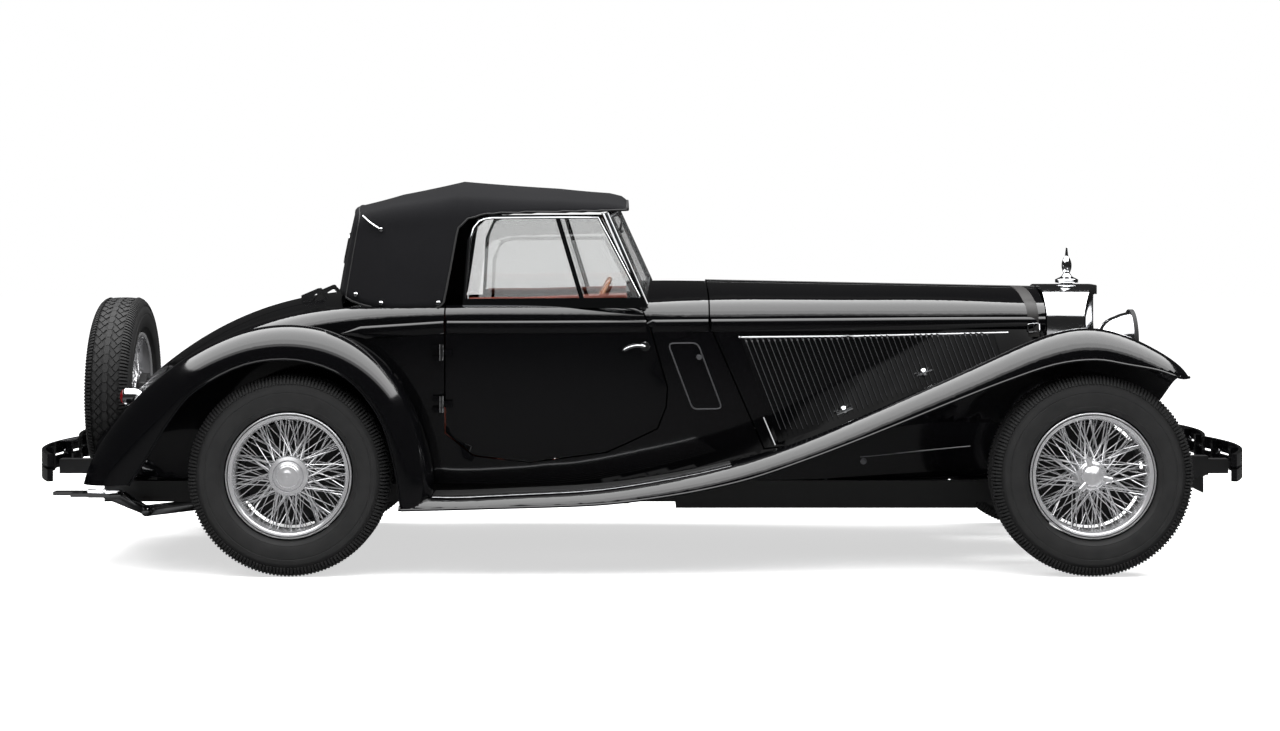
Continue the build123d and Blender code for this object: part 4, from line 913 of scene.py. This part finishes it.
# seats
seats = {
    "voxel": 0.012, "pressure": 4.0, "cap": 0.024, "frames": 20,
    "shrink": 0.020,  # the starting form is this much smaller than the space it may fill
    "fluteWidth": 0.074, "fluteDepth": 0.010, "fluteSpread": 0.0085,
    "edgeBand": 0.050,  # plain hide left round the fluted panel
    "fluteEnds": (0.10, 0.90), "fluteFade": 0.05,  # shares of the panel's length
    "fluteFacing": 0.35,  # how far a point has to face the sitter to be sewn
    "wallGap": 0.0005,
}


def seatBlank(node):
    # the CAD solid as one closed skin, a little smaller all round
    bm = bmesh.new()
    bm.from_mesh(nodes[node].data)
    bmesh.ops.remove_doubles(bm, verts=bm.verts[:], dist=0.00002)
    low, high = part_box(node)
    middle, half = (low + high) / 2, (high - low) / 2
    scale = [(h - seats["shrink"]) / h for h in half]
    for v in bm.verts:
        v.co = middle + Vector([(v.co[k] - middle[k]) * scale[k] for k in range(3)])
    return bm


def swell(piece):
    # stuffs the blank: cloth pushed out by air, each point held to a short way from where it began
    remesh = piece.modifiers.new("skin", "REMESH")
    remesh.mode = "VOXEL"
    remesh.voxel_size = seats["voxel"]
    bakeModifiers(piece)
    before = [v.co.copy() for v in piece.data.vertices]
    cloth = piece.modifiers.new("stuffing", "CLOTH")
    cloth.settings.use_pressure = True
    cloth.settings.uniform_pressure_force = seats["pressure"]
    cloth.settings.effector_weights.gravity = 0.0
    cloth.settings.quality = 4
    scene = bpy.context.scene
    for number in range(1, seats["frames"] + 1):
        scene.frame_set(number)
    bakeModifiers(piece)
    scene.frame_set(1)
    for v, start in zip(piece.data.vertices, before):
        moved = v.co - start
        if moved.length > seats["cap"]:
            v.co = start + moved * (seats["cap"] / moved.length)


def bakeModifiers(piece):
    # replaces the mesh with what its modifiers make of it
    graph = bpy.context.evaluated_depsgraph_get()
    mesh = bpy.data.meshes.new_from_object(piece.evaluated_get(graph))
    piece.modifiers.clear()
    old = piece.data
    piece.data = mesh
    bpy.data.meshes.remove(old)


def addFlutes(piece, upright):
    # sewn channels on the side that is sat on or leant against; the channels run away from the sitter's back
    places = [v.co.copy() for v in piece.data.vertices]
    axis = 2 if upright else 0
    first, last = min(p[axis] for p in places), max(p[axis] for p in places)
    yHigh = max(p.y for p in places) - seats["edgeBand"]
    normals = [v.normal.copy() for v in piece.data.vertices]
    (start, end), fading = seats["fluteEnds"], seats["fluteFade"]
    for v, normal in zip(piece.data.vertices, normals):
        facing = normal.x if upright else normal.z
        along = (v.co[axis] - first) / (last - first)
        if facing < seats["fluteFacing"] or not start < along < end or abs(v.co.y) >= yHigh:
            continue
        offset = (v.co.y / seats["fluteWidth"]) % 1.0
        distance = min(offset, 1.0 - offset) * seats["fluteWidth"]
        depth = seats["fluteDepth"] * math.exp(-(distance / seats["fluteSpread"])**2)
        depth *= min(1, (facing - seats["fluteFacing"]) / 0.3)
        fade = min(1.0, (along - start) / fading, (end - along) / fading, (yHigh - abs(v.co.y)) / 0.01)
        v.co -= normal * depth * max(0.0, fade)


def keepInside(piece, node):
    # no point beyond the space of the CAD solid
    low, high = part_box(node)
    for v in piece.data.vertices:
        for k in range(3):
            v.co[k] = min(max(v.co[k], low[k] + seats["wallGap"]), high[k] - seats["wallGap"])


def makeSeat(node, upright):
    piece = finishPiece(node + "Hide", seatBlank(node), finishes["seat_leather"], node, False)
    swell(piece)
    finer = piece.modifiers.new("finer", "SUBSURF")
    finer.levels = finer.render_levels = 1
    bakeModifiers(piece)
    addFlutes(piece, upright)
    keepInside(piece, node)
    for polygon in piece.data.polygons:
        polygon.use_smooth = True
    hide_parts(node)
    return piece


makeSeat("seat_cushion", False)
makeSeat("seat_back", True)
print("seats stuffed and fluted")

# mouldings and trim
trim = {
    # half-round section of the belt moulding: up the side, out from it, in metres
    "beltSection": [(-0.0250, -0.0015), (-0.0235, 0.0022), (-0.0170, 0.0058), (-0.0060, 0.0084),
                    (0.0060, 0.0088), (0.0150, 0.0070), (0.0215, 0.0036), (0.0240, -0.0015)],
    # the belt line runs level to the door's rear edge, then falls towards its point
    "belt": [(-1.137, 0.8935), (-0.740, 0.9200), (1.700, 0.9200)],
    "beltFront": 1.690, "beltPoint": -1.137, "beltTaper": 0.075, "beltStep": 0.0125,
    "louvreBead": [(0.370, 0.8742), (0.835, 0.8748), (1.428, 0.8835)],
    "beadSection": [(-0.0035, -0.001), (-0.0030, 0.0028), (0.0, 0.0042), (0.0030, 0.0028), (0.0035, -0.001)],
    "louvres": (44, (0.392, 0.868), 0.022, 0.39), "louvreRise": 0.0175,  # number, first top, pitch, lean
    "bonnetFoot": [(0.465, 0.446), (0.560, 0.455), (1.600, 0.805)],
    "hingeAxis": (-0.7545, 0.680), "barrelRadius": 0.0096,
    "sillLine": [(0.845, 0.405), (1.280, 0.440)], "sillBolt": (0.857, 0.389),
    "boltProfile": [(-0.003, 0.013), (0.004, 0.013), (0.008, 0.008), (0.010, 0.0)],
    "vent": [(0.098, 0.854), (0.212, 0.854), (0.307, 0.600), (0.193, 0.600)], "ventCorner": 0.022,
    "ventKnob": (0.215, 0.800),
    "knobProfile": [(-0.002, 0.010), (0.004, 0.010), (0.006, 0.006), (0.010, 0.006), (0.012, 0.011),
                    (0.018, 0.010), (0.020, 0.0)],
    "latches": [(0.777, 0.588), (1.091, 0.730)], "latchBar": (0.030, 0.0, 0.012),
    "latchProfile": [(-0.003, 0.017), (0.003, 0.017), (0.006, 0.012), (0.010, 0.007), (0.020, 0.006),
                     (0.024, 0.008), (0.027, 0.0)],
    "hook": [(0.462, 0.566), (0.507, 0.460)],
    "studs": [(-1.090, 1.040), (-0.990, 1.008), (-0.772, 1.010)],
    "studProfile": [(-0.004, 0.009), (0.002, 0.009), (0.004, 0.0065), (0.007, 0.005), (0.009, 0.0)],
    "handleRoot": (0.011, 0.842),
    "roseProfile": [(-0.003, 0.0175), (0.003, 0.0175), (0.0055, 0.0150), (0.0055, 0.0120), (0.0030, 0.0095),
                    (0.0030, 0.0)],
    "windowEdge": [(-0.669, 1.030), (-0.662, 1.140), (-0.654, 1.244), (-0.641, 1.292), (-0.620, 1.318),
                   (-0.600, 1.326), (-0.574, 1.330), (-0.440, 1.331), (-0.300, 1.332), (-0.168, 1.332),
                   (-0.112, 1.225), (-0.060, 1.127), (-0.010, 1.032)],
    "windowLean": 67 / 344, "windowFoot": (0.6145, 1.001),  # leans in from this distance out and height
    # foot and head of the pillar's outer bright cover, and how far behind it the inner one lies
    "pillar": [(0.020, 0.5800, 1.004), (-0.132, 0.5155, 1.350)], "pillarGap": 0.020,
    "capping": (-0.655, 0.022, 28),  # rear end, step and number of places along the roll of hide
    "cockpitEdge": [(-0.780, 0.606), (-0.450, 0.597), (-0.062, 0.495)],
    "strapTop": 1.505, "strapSide": 1.530, "strapWidth": 0.046, "strapThickness": 0.005, "strapCentre": 0.800,
    "strapFrom": 86, "strapSweep": 74,  # degrees up from level
    "buckle": (0.023, 0.016),  # half its width and height
    "boardRows": [0.615 + 0.0165 * k for k in range(11)], "boardStart": -0.780, "boardEnd": 0.330,
    "boardEdge": 0.797, "boardTop": 0.5,
    "ribSection": [(-0.0055, -0.0010), (-0.0040, 0.0030), (0.0040, 0.0030), (0.0055, -0.0010)],
    # radii of the beads, bars and wires, in metres
    "ventBead": 0.0032, "barRadius": 0.0052, "hookRadius": 0.0055, "windowBead": 0.0042, "screenBead": 0.0046,
    "cappingRadius": 0.0145, "sillBead": 0.0026, "edgeRadius": 0.0016, "tipRadius": 0.0036,
    "buckleWire": 0.0028, "tongueWire": 0.0022, "boardStrip": 0.0055,
    "barLift": 0.021, "hookLift": 0.011, "buckleLift": 0.006, "buckleCorner": 0.006,
    "louvreStep": 0.014, "louvreSteps": 26, "louvreMargin": 0.038,  # above the bonnet's lower edge
}


def sweepBand(bm, stations, section, scale=None):
    # stations: (place, outward direction); the section rides along them
    rings = []
    for i, (place, out) in enumerate(stations):
        along = (stations[min(i + 1, len(stations) - 1)][0] - stations[max(i - 1, 0)][0]).normalized()
        up = out.cross(along).normalized()
        if up.z < 0:
            up = -up
        size = scale[i] if scale else 1.0
        rings.append(addLoop(bm, [place + up * u * size + out * n * size for u, n in section]))
    for first, second in zip(rings, rings[1:]):
        bridge(bm, first, second)
    bm.faces.new(list(reversed(rings[0])))
    bm.faces.new(rings[-1])


def beltRuns(side, word):
    # the belt line cut up by the panel that it crosses: panel name, then places along it
    panels = ("bonnet_" + word, "body_shell", "door_" + word)
    runs, x = [], trim["beltFront"]
    while x > trim["beltPoint"]:
        hits = [(sideHit(panel, x, between(trim["belt"], x, 1), side), panel) for panel in panels]
        x -= trim["beltStep"]
        hits = [(hit, panel) for hit, panel in hits if hit[0] is not None]
        if not hits:
            continue
        (place, out), panel = max(hits, key=lambda item: item[0][0].y * side)
        if not runs or runs[-1][0] != panel:
            runs.append((panel, []))
        runs[-1][1].append((place, out))
    return [run for run in runs if len(run[1]) > 3]


def addBeltMoulding():
    for side, word in ((1, "left"), (-1, "right")):
        for number, (panel, stations) in enumerate(beltRuns(side, word)):
            bm = bmesh.new()
            stations = [(place, Vector((0.0, out.y, out.z)).normalized()) for place, out in stations]
            scale = [min(1.0, max(0.08, (place.x - trim["beltPoint"]) / trim["beltTaper"]))
                     for place, out in stations]
            sweepBand(bm, stations, trim["beltSection"], scale)
            mendNormals(bm)
            finishPiece("beltMoulding" + word.capitalize() + str(number), bm, finishes["body_paint"], panel)


def roundedOutline(corners, radius, steps=4):
    # closed outline with its corners rounded
    places = []
    count = len(corners)
    for i in range(count):
        before, here, after = (Vector(corners[(i + k) % count]) for k in (-1, 0, 1))
        first = here + (before - here).normalized() * radius
        last = here + (after - here).normalized() * radius
        for k in range(steps + 1):
            t = k / steps
            places.append(first.lerp(here, t).lerp(here.lerp(last, t), t))
    return places


def scuttleVent(bm, side):
    # raised bead round the ventilator flap in the side of the scuttle, with its knob
    outline = roundedOutline(trim["vent"], trim["ventCorner"])
    fine = stepped([tuple(p) + (0.0,) for p in outline + outline[:1]], 0.012)
    path = runOnSide("body_shell", [(p.x, p.y) for p in fine], side, 0.001)
    addTube(bm, path, trim["ventBead"], 6)
    place, out = sideHit("body_shell", *trim["ventKnob"], side)
    addLathe(bm, trim["knobProfile"], place, out, 16)


def bonnetBead(bm, side):
    word = "left" if side > 0 else "right"
    places = stepped([p + (0.0,) for p in trim["louvreBead"]], 0.02)
    stations = [sideHit("bonnet_" + word, p.x, p.y, side) for p in places]
    stations = [(place, Vector((0.0, out.y, out.z)).normalized())
                for place, out in stations if place is not None]
    sweepBand(bm, stations, trim["beadSection"])


def bonnetLatches(bm, side):
    # T handles low on the bonnet's side and the hook that draws its rear corner down
    word = "left" if side > 0 else "right"
    for x, z in trim["latches"]:
        place, out = sideHit("bonnet_" + word, x, z, side)
        addLathe(bm, trim["latchProfile"], place, out, 20)
        bar = Vector(trim["latchBar"])
        middle = place + out * trim["barLift"]
        addTube(bm, [middle + bar * t for t in (-1.0, -0.6, 0.0, 0.6, 1.0)], trim["barRadius"], 8)
    top, foot = (Vector(spot) for spot in trim["hook"])
    path = [sideHit("bonnet_" + word, *top.lerp(foot, t), side) for t in (0.0, 0.5, 1.0)]
    path = [(place, out) for place, out in path if place is not None]
    if len(path) > 1:
        ends = [place - out * 0.002 for place, out in (path[0], path[-1])]  # sunk into the panel
        bow = [place + out * trim["hookLift"] for place, out in path]
        addTube(bm, ends[:1] + bow + ends[1:], trim["hookRadius"], 8)


def handleRose(bm, side):
    # dished plate round the door handle's root
    place, out = sideHit("door_left" if side > 0 else "door_right", *trim["handleRoot"], side)
    addLathe(bm, trim["roseProfile"], place, out, 32)


def hoodStuds(bm, side):
    # turn-button studs that hold the cloth down to the body
    for x, z in trim["studs"]:
        place, out = sideHit("soft_top", x, z, side)
        if place is not None:
            addLathe(bm, trim["studProfile"], place, out, 16)


def windowBeads(bm, side):
    # bright inner bead of the side window's frame
    out, foot = trim["windowFoot"]
    places = [(x, side * (out - (z - foot) * trim["windowLean"]), z) for x, z in trim["windowEdge"]]
    addTube(bm, places, trim["windowBead"], 8)


def screenBeads(bm, side):
    # bright covers down both edges of the windscreen pillar
    for shift in (0.0, trim["pillarGap"]):
        foot, head = (Vector((x - shift, side * y, z)) for x, y, z in trim["pillar"])
        addTube(bm, [foot.lerp(head, k / 8) for k in range(9)], trim["screenBead"], 8)


def doorCapping(bm, side):
    # roll of hide along the door's upper inner edge
    word = "left" if side > 0 else "right"
    path = []
    rear, step, count = trim["capping"]
    for k in range(count):
        x = rear + k * step
        y = between(trim["cockpitEdge"], x, 1) - 0.011
        place = topHit("door_" + word, x, side * (y + 0.016))
        if place is not None:
            path.append((x, side * y, place.z + 0.014))
    addTube(bm, path, trim["cappingRadius"], 12)


def roundHit(node, x, angle):
    # where a ray towards the bonnet's middle meets it, angle measured up from level
    out = Vector((0.0, math.cos(angle), math.sin(angle)))
    start = Vector((x, 0.0, trim["strapCentre"])) + out * 0.9
    place, normal = skinOf(node).ray_cast(start, -out)[:2]
    if place is None:
        return None
    return place, normal if normal.dot(out) > 0 else -normal


def strapStations(side):
    # flat strap over one half of the bonnet, from beside its hinge down to the buckle
    word = "left" if side > 0 else "right"
    stations = []
    for k in range(25):
        t = k / 24
        angle = math.radians(trim["strapFrom"] - trim["strapSweep"] * t)
        hit = roundHit("bonnet_" + word, trim["strapTop"] + (trim["strapSide"] - trim["strapTop"]) * t,
                       angle if side > 0 else math.pi - angle)
        if hit:
            stations.append(hit)
    return stations


def bonnetStrap(bm, side):
    half, thick = trim["strapWidth"] / 2, trim["strapThickness"]
    rings = []
    for place, out in strapStations(side):
        across = Vector((1.0, 0.0, 0.0))
        out = (out - across * out.x).normalized()
        rings.append(addLoop(bm, [place + across * a + out * n for a, n in
                                  ((-half, 0.0005), (-half, thick * 0.7), (-half * 0.85, thick),
                                   (half * 0.85, thick), (half, thick * 0.7), (half, 0.0005))]))
    for first, second in zip(rings, rings[1:]):
        bridge(bm, first, second)
    bm.faces.new(list(reversed(rings[0])))
    bm.faces.new(rings[-1])


def sillLine(bm, side):
    # joint strip along the sill with the bolt at its end
    places = stepped([p + (0.0,) for p in trim["sillLine"]], 0.02)
    path = runOnSide("bonnet_sills", [(p.x, p.y) for p in places], side, 0.0005)
    if len(path) > 1:
        addTube(bm, path, trim["sillBead"], 6)
        place, out = sideHit("bonnet_sills", *trim["sillBolt"], side)
        if place is not None:
            addLathe(bm, trim["boltProfile"], place, out, 20)


def louvreEdges(bm, side):
    # rolled edge of every louvre with the rounded tip at its top; fitTrim gives them the grey of a painted
    # highlight
    word = "left" if side > 0 else "right"
    count, start, pitch, lean = trim["louvres"]
    for k in range(count):
        top = (start[0] + pitch * k + 0.003, start[1] + trim["louvreRise"] * pitch * k)
        path = []
        for step in range(trim["louvreSteps"]):
            drop = trim["louvreStep"] * step
            x, z = top[0] + lean * drop, top[1] - drop
            place, out = sideHit("bonnet_" + word, x, z, side)
            if place is None or z < bonnetFoot(x) + trim["louvreMargin"]:
                break
            path.append(place + out * 0.0006)
        if len(path) > 1:
            addTube(bm, path, trim["edgeRadius"], 5)
            addTube(bm, [path[0], path[0].lerp(path[1], 0.9)], trim["tipRadius"], 8)


def bonnetFoot(x):
    # height of the bonnet's lower edge
    return between(trim["bonnetFoot"], x, 1)


def strapBuckle(bm, side):
    # square buckle with its tongue near the strap's lower end
    stations = strapStations(side)
    place, out = stations[-3]
    lower = stations[-1][0]
    down = (lower - place).normalized()
    across = down.cross(out).normalized()
    out = across.cross(down) if across.cross(down).dot(out) > 0 else -across.cross(down)
    centre = place + out * trim["buckleLift"]
    wide, high = trim["buckle"]
    corners = [(-wide, -high), (wide, -high), (wide, high), (-wide, high)]
    loop = roundedOutline(corners, trim["buckleCorner"], 3)
    path = [centre + across * p.x + down * p.y for p in loop]
    addTube(bm, path + path[:2], trim["buckleWire"], 6)
    tongue = [centre + down * t + out * 0.002 for t in (-0.014, 0.0, 0.015)]
    addTube(bm, tongue, trim["tongueWire"], 6)


def boardPlaces(word, y):
    # places along the running board's top at one distance from the car's middle
    places = []
    for k in range(41):
        x = trim["boardStart"] + (trim["boardEnd"] - trim["boardStart"]) * k / 40
        place = topHit("front_wing_" + word, x, y)
        if place is not None and place.z < trim["boardTop"]:
            places.append(place)
    return places


def boardRibs(bm, side):
    # moulded rubber ribs along the running board
    word = "left" if side > 0 else "right"
    for y in trim["boardRows"]:
        rings = [addLoop(bm, [place + Vector((0, a, h)) for a, h in trim["ribSection"]])
                 for place in boardPlaces(word, y * side)]
        for first, second in zip(rings, rings[1:]):
            bridge(bm, first, second)
        if rings:
            bm.faces.new(list(reversed(rings[0])))
            bm.faces.new(rings[-1])


def boardEdge(bm, side):
    # bright strip along the running board's outer edge
    word = "left" if side > 0 else "right"
    places = boardPlaces(word, trim["boardEdge"] * side)
    addTube(bm, [place + Vector((0, 0, 0.001)) for place in places], trim["boardStrip"], 8)


def blackenLeaves():
    # the hinges' leaves are painted with the body, so that only their barrels are bright
    for name in ("body_hinges", "door_fittings_left", "door_fittings_right"):
        mesh = nodes[name].data
        mesh.materials.append(finishes["body_paint"])
        for polygon in mesh.polygons:
            x, y = polygon.center.x - trim["hingeAxis"][0], abs(polygon.center.y) - trim["hingeAxis"][1]
            if -0.1 < x < 0.1 and math.hypot(x, y) > trim["barrelRadius"]:
                polygon.material_index = 1


def fitTrim():
    chrome = finishes["bright_chrome"]
    addBeltMoulding()
    blackenLeaves()
    # the vent bead, the sill strip and the louvre edges take a grey lighter than the paint: painted highlight
    makeBoth("scuttleVent{}", scuttleVent, finishes["louvreEdge"], "body_shell")
    makeBoth("sillLine{}", sillLine, finishes["louvreEdge"], "bonnet_sills")
    makeBoth("louvreBead{}", bonnetBead, finishes["wheelPlate"], "bonnet_{}")
    makeBoth("louvreEdges{}", louvreEdges, finishes["louvreEdge"], "bonnet_{}")
    makeBoth("bonnetLatches{}", bonnetLatches, chrome, "bonnet_{}")
    makeBoth("handleRose{}", handleRose, chrome, "door_{}")
    makeBoth("hoodStuds{}", hoodStuds, chrome, "soft_top")
    makeBoth("windowBeads{}", windowBeads, chrome, "window_frame_{}")
    makeBoth("screenBeads{}", screenBeads, chrome, "windscreen_frame")
    makeBoth("doorCapping{}", doorCapping, finishes["seat_leather"], "door_{}")
    makeBoth("bonnetStrap{}", bonnetStrap, finishes["strap"], "bonnet_{}")
    makeBoth("strapBuckle{}", strapBuckle, chrome, "bonnet_{}")
    makeBoth("boardRibs{}", boardRibs, finishes["tyre_rubber"], "front_wing_{}")
    makeBoth("boardEdge{}", boardEdge, chrome, "front_wing_{}")


fitTrim()
print("mouldings and trim fitted")

# wings, bumpers and lamps
outside = {
    "archCentre": (-1.310, 0.364), "beadRadius": 0.0052, "beadShift": (0.003, 0.004),  # inwards and up
    # front wing's lip: x, height, distance from the car's middle
    "frontLip": [(2.024, 0.738, 0.838), (1.985, 0.738, 0.858), (1.900, 0.766, 0.868), (1.790, 0.786, 0.870),
                 (1.670, 0.804, 0.870), (1.520, 0.786, 0.870), (1.335, 0.724, 0.870), (1.148, 0.651, 0.870),
                 (0.962, 0.575, 0.870), (0.775, 0.500, 0.870), (0.589, 0.430, 0.870), (0.402, 0.367, 0.870),
                 (0.216, 0.323, 0.870), (0.029, 0.292, 0.870), (-0.157, 0.272, 0.870), (-0.344, 0.264, 0.870),
                 (-0.530, 0.259, 0.870), (-0.715, 0.254, 0.870), (-0.890, 0.250, 0.870)],
    # rear wing's lip: degrees round the axle from straight ahead, distance from the middle, radius
    "rearLip": [(-13, 0.870, 0.432), (10, 0.870, 0.400), (35, 0.870, 0.412), (60, 0.870, 0.434),
                (85, 0.870, 0.441), (110, 0.870, 0.450), (135, 0.870, 0.470), (152, 0.868, 0.484),
                (165, 0.862, 0.506), (174, 0.852, 0.538), (182, 0.838, 0.590)],
    "boltSpots": (0.150, 0.409), "boltHeight": 0.400, "lampSpot": (-1.984, 0.500, 0.646),
    "boltDome": [(-0.010, 0.017), (0.002, 0.017), (0.006, 0.014), (0.010, 0.008), (0.012, 0.0)],
    "lensDome": [(-0.006, 0.029), (0.003, 0.029), (0.009, 0.024), (0.014, 0.014), (0.016, 0.0)],
    "wiperPivot": (-0.118, 0.400, 1.348), "armRadius": 0.0028, "bladeRadius": 0.0042,
    "bladeReach": (0.030, -0.020, -0.070), "bladeHalf": 0.105,  # from the pivot to the blade's middle
    "pivotProfile": [(-0.012, 0.012), (0.012, 0.012), (0.016, 0.009), (0.026, 0.006), (0.030, 0.0)],
    "lampMiddle": (0.474, 0.853),
    "gasket": [(1.8685, 0.1238), (1.8685, 0.1268), (1.8845, 0.1268), (1.8845, 0.1238)],
}


def smoothPath(places, parts=4):
    # curve through the places, each stretch cut into equal parts
    rows = [Vector(p) for p in places]
    path = []
    for i in range(len(rows) - 1):
        p0, p1, p2, p3 = rows[max(i - 1, 0)], rows[i], rows[i + 1], rows[min(i + 2, len(rows) - 1)]
        for k in range(parts):
            t = k / parts
            path.append(0.5 * (2 * p1 + (p2 - p0) * t + (2 * p0 - 5 * p1 + 4 * p2 - p3) * t**2
                               + (3 * p1 - p0 - 3 * p2 + p3) * t**3))
    return path + [rows[-1]]


def frontBead(bm, side):
    inset, lift = outside["beadShift"]
    path = smoothPath([(x, y * side, z + lift) for x, z, y in outside["frontLip"]])
    addTube(bm, [p + Vector((0, -inset * side, 0)) for p in path], outside["beadRadius"], 8)


def rearBead(bm, side):
    path = []
    inset, lift = outside["beadShift"]
    centreX, centreZ = outside["archCentre"]
    for angle, y, r in outside["rearLip"]:
        a = math.radians(angle)
        path.append((centreX + r * math.cos(a), (y - inset) * side, centreZ + (r + lift) * math.sin(a)))
    addTube(bm, smoothPath(path), outside["beadRadius"], 8)


def bumperBolts(bm, end):
    # domed bolts through the upright clamps
    node = "bumper_front" if end > 0 else "bumper_rear"
    for y in outside["boltSpots"]:
        for side in (1, -1):
            start = Vector((end * 2.6, y * side, outside["boltHeight"]))
            place = skinOf(node).ray_cast(start, Vector((-end, 0, 0)))[0]
            if place is not None:
                addLathe(bm, outside["boltDome"], place, (end, 0, 0), 20)


def tailLens(bm, side):
    x, y, z = outside["lampSpot"]
    addLathe(bm, outside["lensDome"], (x, y * side, z), (-1, 0, 0), 28)


def lampGasket(bm, side):
    # rubber seal round the lamp's rim
    y, z = outside["lampMiddle"]
    addLathe(bm, closed(outside["gasket"]), (0.0, y * side, z), (1, 0, 0), 64)


def wiper(bm, side):
    # wiper parked along the top of its pane
    x, y, z = outside["wiperPivot"]
    front = Vector((1, 0, 0.42)).normalized()
    pivot = Vector((x, y * side, z))
    addLathe(bm, outside["pivotProfile"], pivot, front, 16)
    ahead, aside, up = outside["bladeReach"]
    tip, half = pivot + Vector((ahead, aside * side, up)), outside["bladeHalf"] * side
    arm = [pivot + front * 0.024, pivot + front * 0.026 + (tip - pivot) * 0.5, tip]
    addTube(bm, arm, outside["armRadius"], 6)
    blade = [tip + Vector((0.0, half, 0.008)), tip, tip + Vector((0.010, -half, -0.004))]
    addTube(bm, blade, outside["bladeRadius"], 6, 0.6)


def fitOutside():
    paint, chrome = finishes["body_paint"], finishes["bright_chrome"]
    makeBoth("frontWingBead{}", frontBead, paint, "front_wing_{}")
    makeBoth("rearWingBead{}", rearBead, paint, "rear_wing_{}")
    makeBoth("tailLens{}", tailLens, finishes["ruby"], "tail_lamps")
    makeBoth("lampGasket{}", lampGasket, finishes["rubberAndPaintedShade"], "headlamps")
    makeBoth("wiper{}", wiper, chrome, "windscreen_frame")
    for end, node in ((1, "bumper_front"), (-1, "bumper_rear")):
        bm = bmesh.new()
        bumperBolts(bm, end)
        mendNormals(bm)
        finishPiece(node + "Bolts", bm, chrome, node)


fitOutside()
print("wings, bumpers and lamps finished")

# cabin
cabin = {
    "dashFace": -0.056, "dials": [(-0.330, 0.985, 0.058), (-0.190, 0.985, 0.040), (-0.090, 0.985, 0.030),
                                  (0.090, 0.985, 0.030), (0.190, 0.985, 0.040), (0.330, 0.985, 0.058)],
    "knobs": [(-0.060, 0.905), (-0.020, 0.905), (0.020, 0.905), (0.060, 0.905)],
    "knobProfile": [(-0.004, 0.006), (0.012, 0.006), (0.016, 0.010), (0.024, 0.010), (0.027, 0.0)],
    "pedalArm": [(0.205, 0.420), (0.060, 0.450), (0.000, 0.480)], "pedalLean": -35,  # degrees
    "gaiterProfile": [(-0.002, 0.050), (0.006, 0.050), (0.022, 0.030), (0.040, 0.014), (0.046, 0.0)],
    "leverKnobProfile": [(-0.022, 0.0), (-0.018, 0.013), (-0.004, 0.021), (0.010, 0.018), (0.020, 0.0)],
    "pedals": [(-0.400, "clutch"), (-0.310, "brake"), (-0.225, "throttle")],
    "padMiddle": (-0.002, 0.488), "armRadius": 0.008, "leverRadius": 0.0075,
    "padHalf": {"clutch": (0.006, 0.028, 0.040), "brake": (0.006, 0.028, 0.040),
                "throttle": (0.006, 0.022, 0.065)},
    "leverFoot": (-0.360, -0.020, 0.338), "leverKnob": (-0.330, 0.0, 0.640),
}


def dialFaces(bm):
    for y, z, radius in cabin["dials"]:
        addLathe(bm, [(-0.002, radius - 0.003), (0.003, radius - 0.003), (0.003, 0.0)],
                 (cabin["dashFace"], y, z), (-1, 0, 0), 36)


def dialRims(bm):
    for y, z, radius in cabin["dials"]:
        addLathe(bm, [(-0.003, radius), (0.007, radius), (0.010, radius - 0.002), (0.010, radius - 0.004),
                      (0.004, radius - 0.005), (-0.003, radius - 0.005), (-0.003, radius)],
                 (cabin["dashFace"], y, z), (-1, 0, 0), 36)
        addBox(bm, (cabin["dashFace"] - 0.006, y - 0.0012, z),
               (cabin["dashFace"] - 0.0045, y + 0.0012, z + radius * 0.7))
    for y, z in cabin["knobs"]:
        addLathe(bm, cabin["knobProfile"], (cabin["dashFace"], y, z), (-1, 0, 0), 16)


def pedals(bm):
    for y, name in cabin["pedals"]:
        addTube(bm, [(x, y, z) for x, z in cabin["pedalArm"]], cabin["armRadius"], 8)
        turn = Matrix.Rotation(math.radians(cabin["pedalLean"]), 3, "Y")
        padX, padZ = cabin["padMiddle"]
        middle, half = Vector((padX, y, padZ)), Vector(cabin["padHalf"][name])
        addBox(bm, middle - half, middle + half, 0.003, turn)


def gearLever(bm):
    foot, knob = Vector(cabin["leverFoot"]), Vector(cabin["leverKnob"])
    addLathe(bm, cabin["gaiterProfile"], foot, (0, 0, 1), 24)
    bend = foot.lerp(knob, 0.5) + Vector((-0.02, 0, 0))
    addTube(bm, [foot + Vector((0, 0, 0.030)), bend, knob], cabin["leverRadius"], 10)
    addLathe(bm, cabin["leverKnobProfile"], knob, (0, 0, 1), 20)


def fitCabin():
    for name, build, finish, node, slotName in (
            ("dialFaces", dialFaces, finishes["plate_black"], "dashboard", "plate_black"),
            ("dialRims", dialRims, finishes["bright_chrome"], "dashboard", "bright_chrome"),
            ("pedals", pedals, finishes["chassis_paint"], "firewall", "chassis_paint"),
            ("gearLever", gearLever, finishes["bright_chrome"], "floor_pan", "bright_chrome")):
        bm = bmesh.new()
        build(bm)
        mendNormals(bm)
        finishPiece(name, bm, finish, node)


fitCabin()
print("cabin fitted")
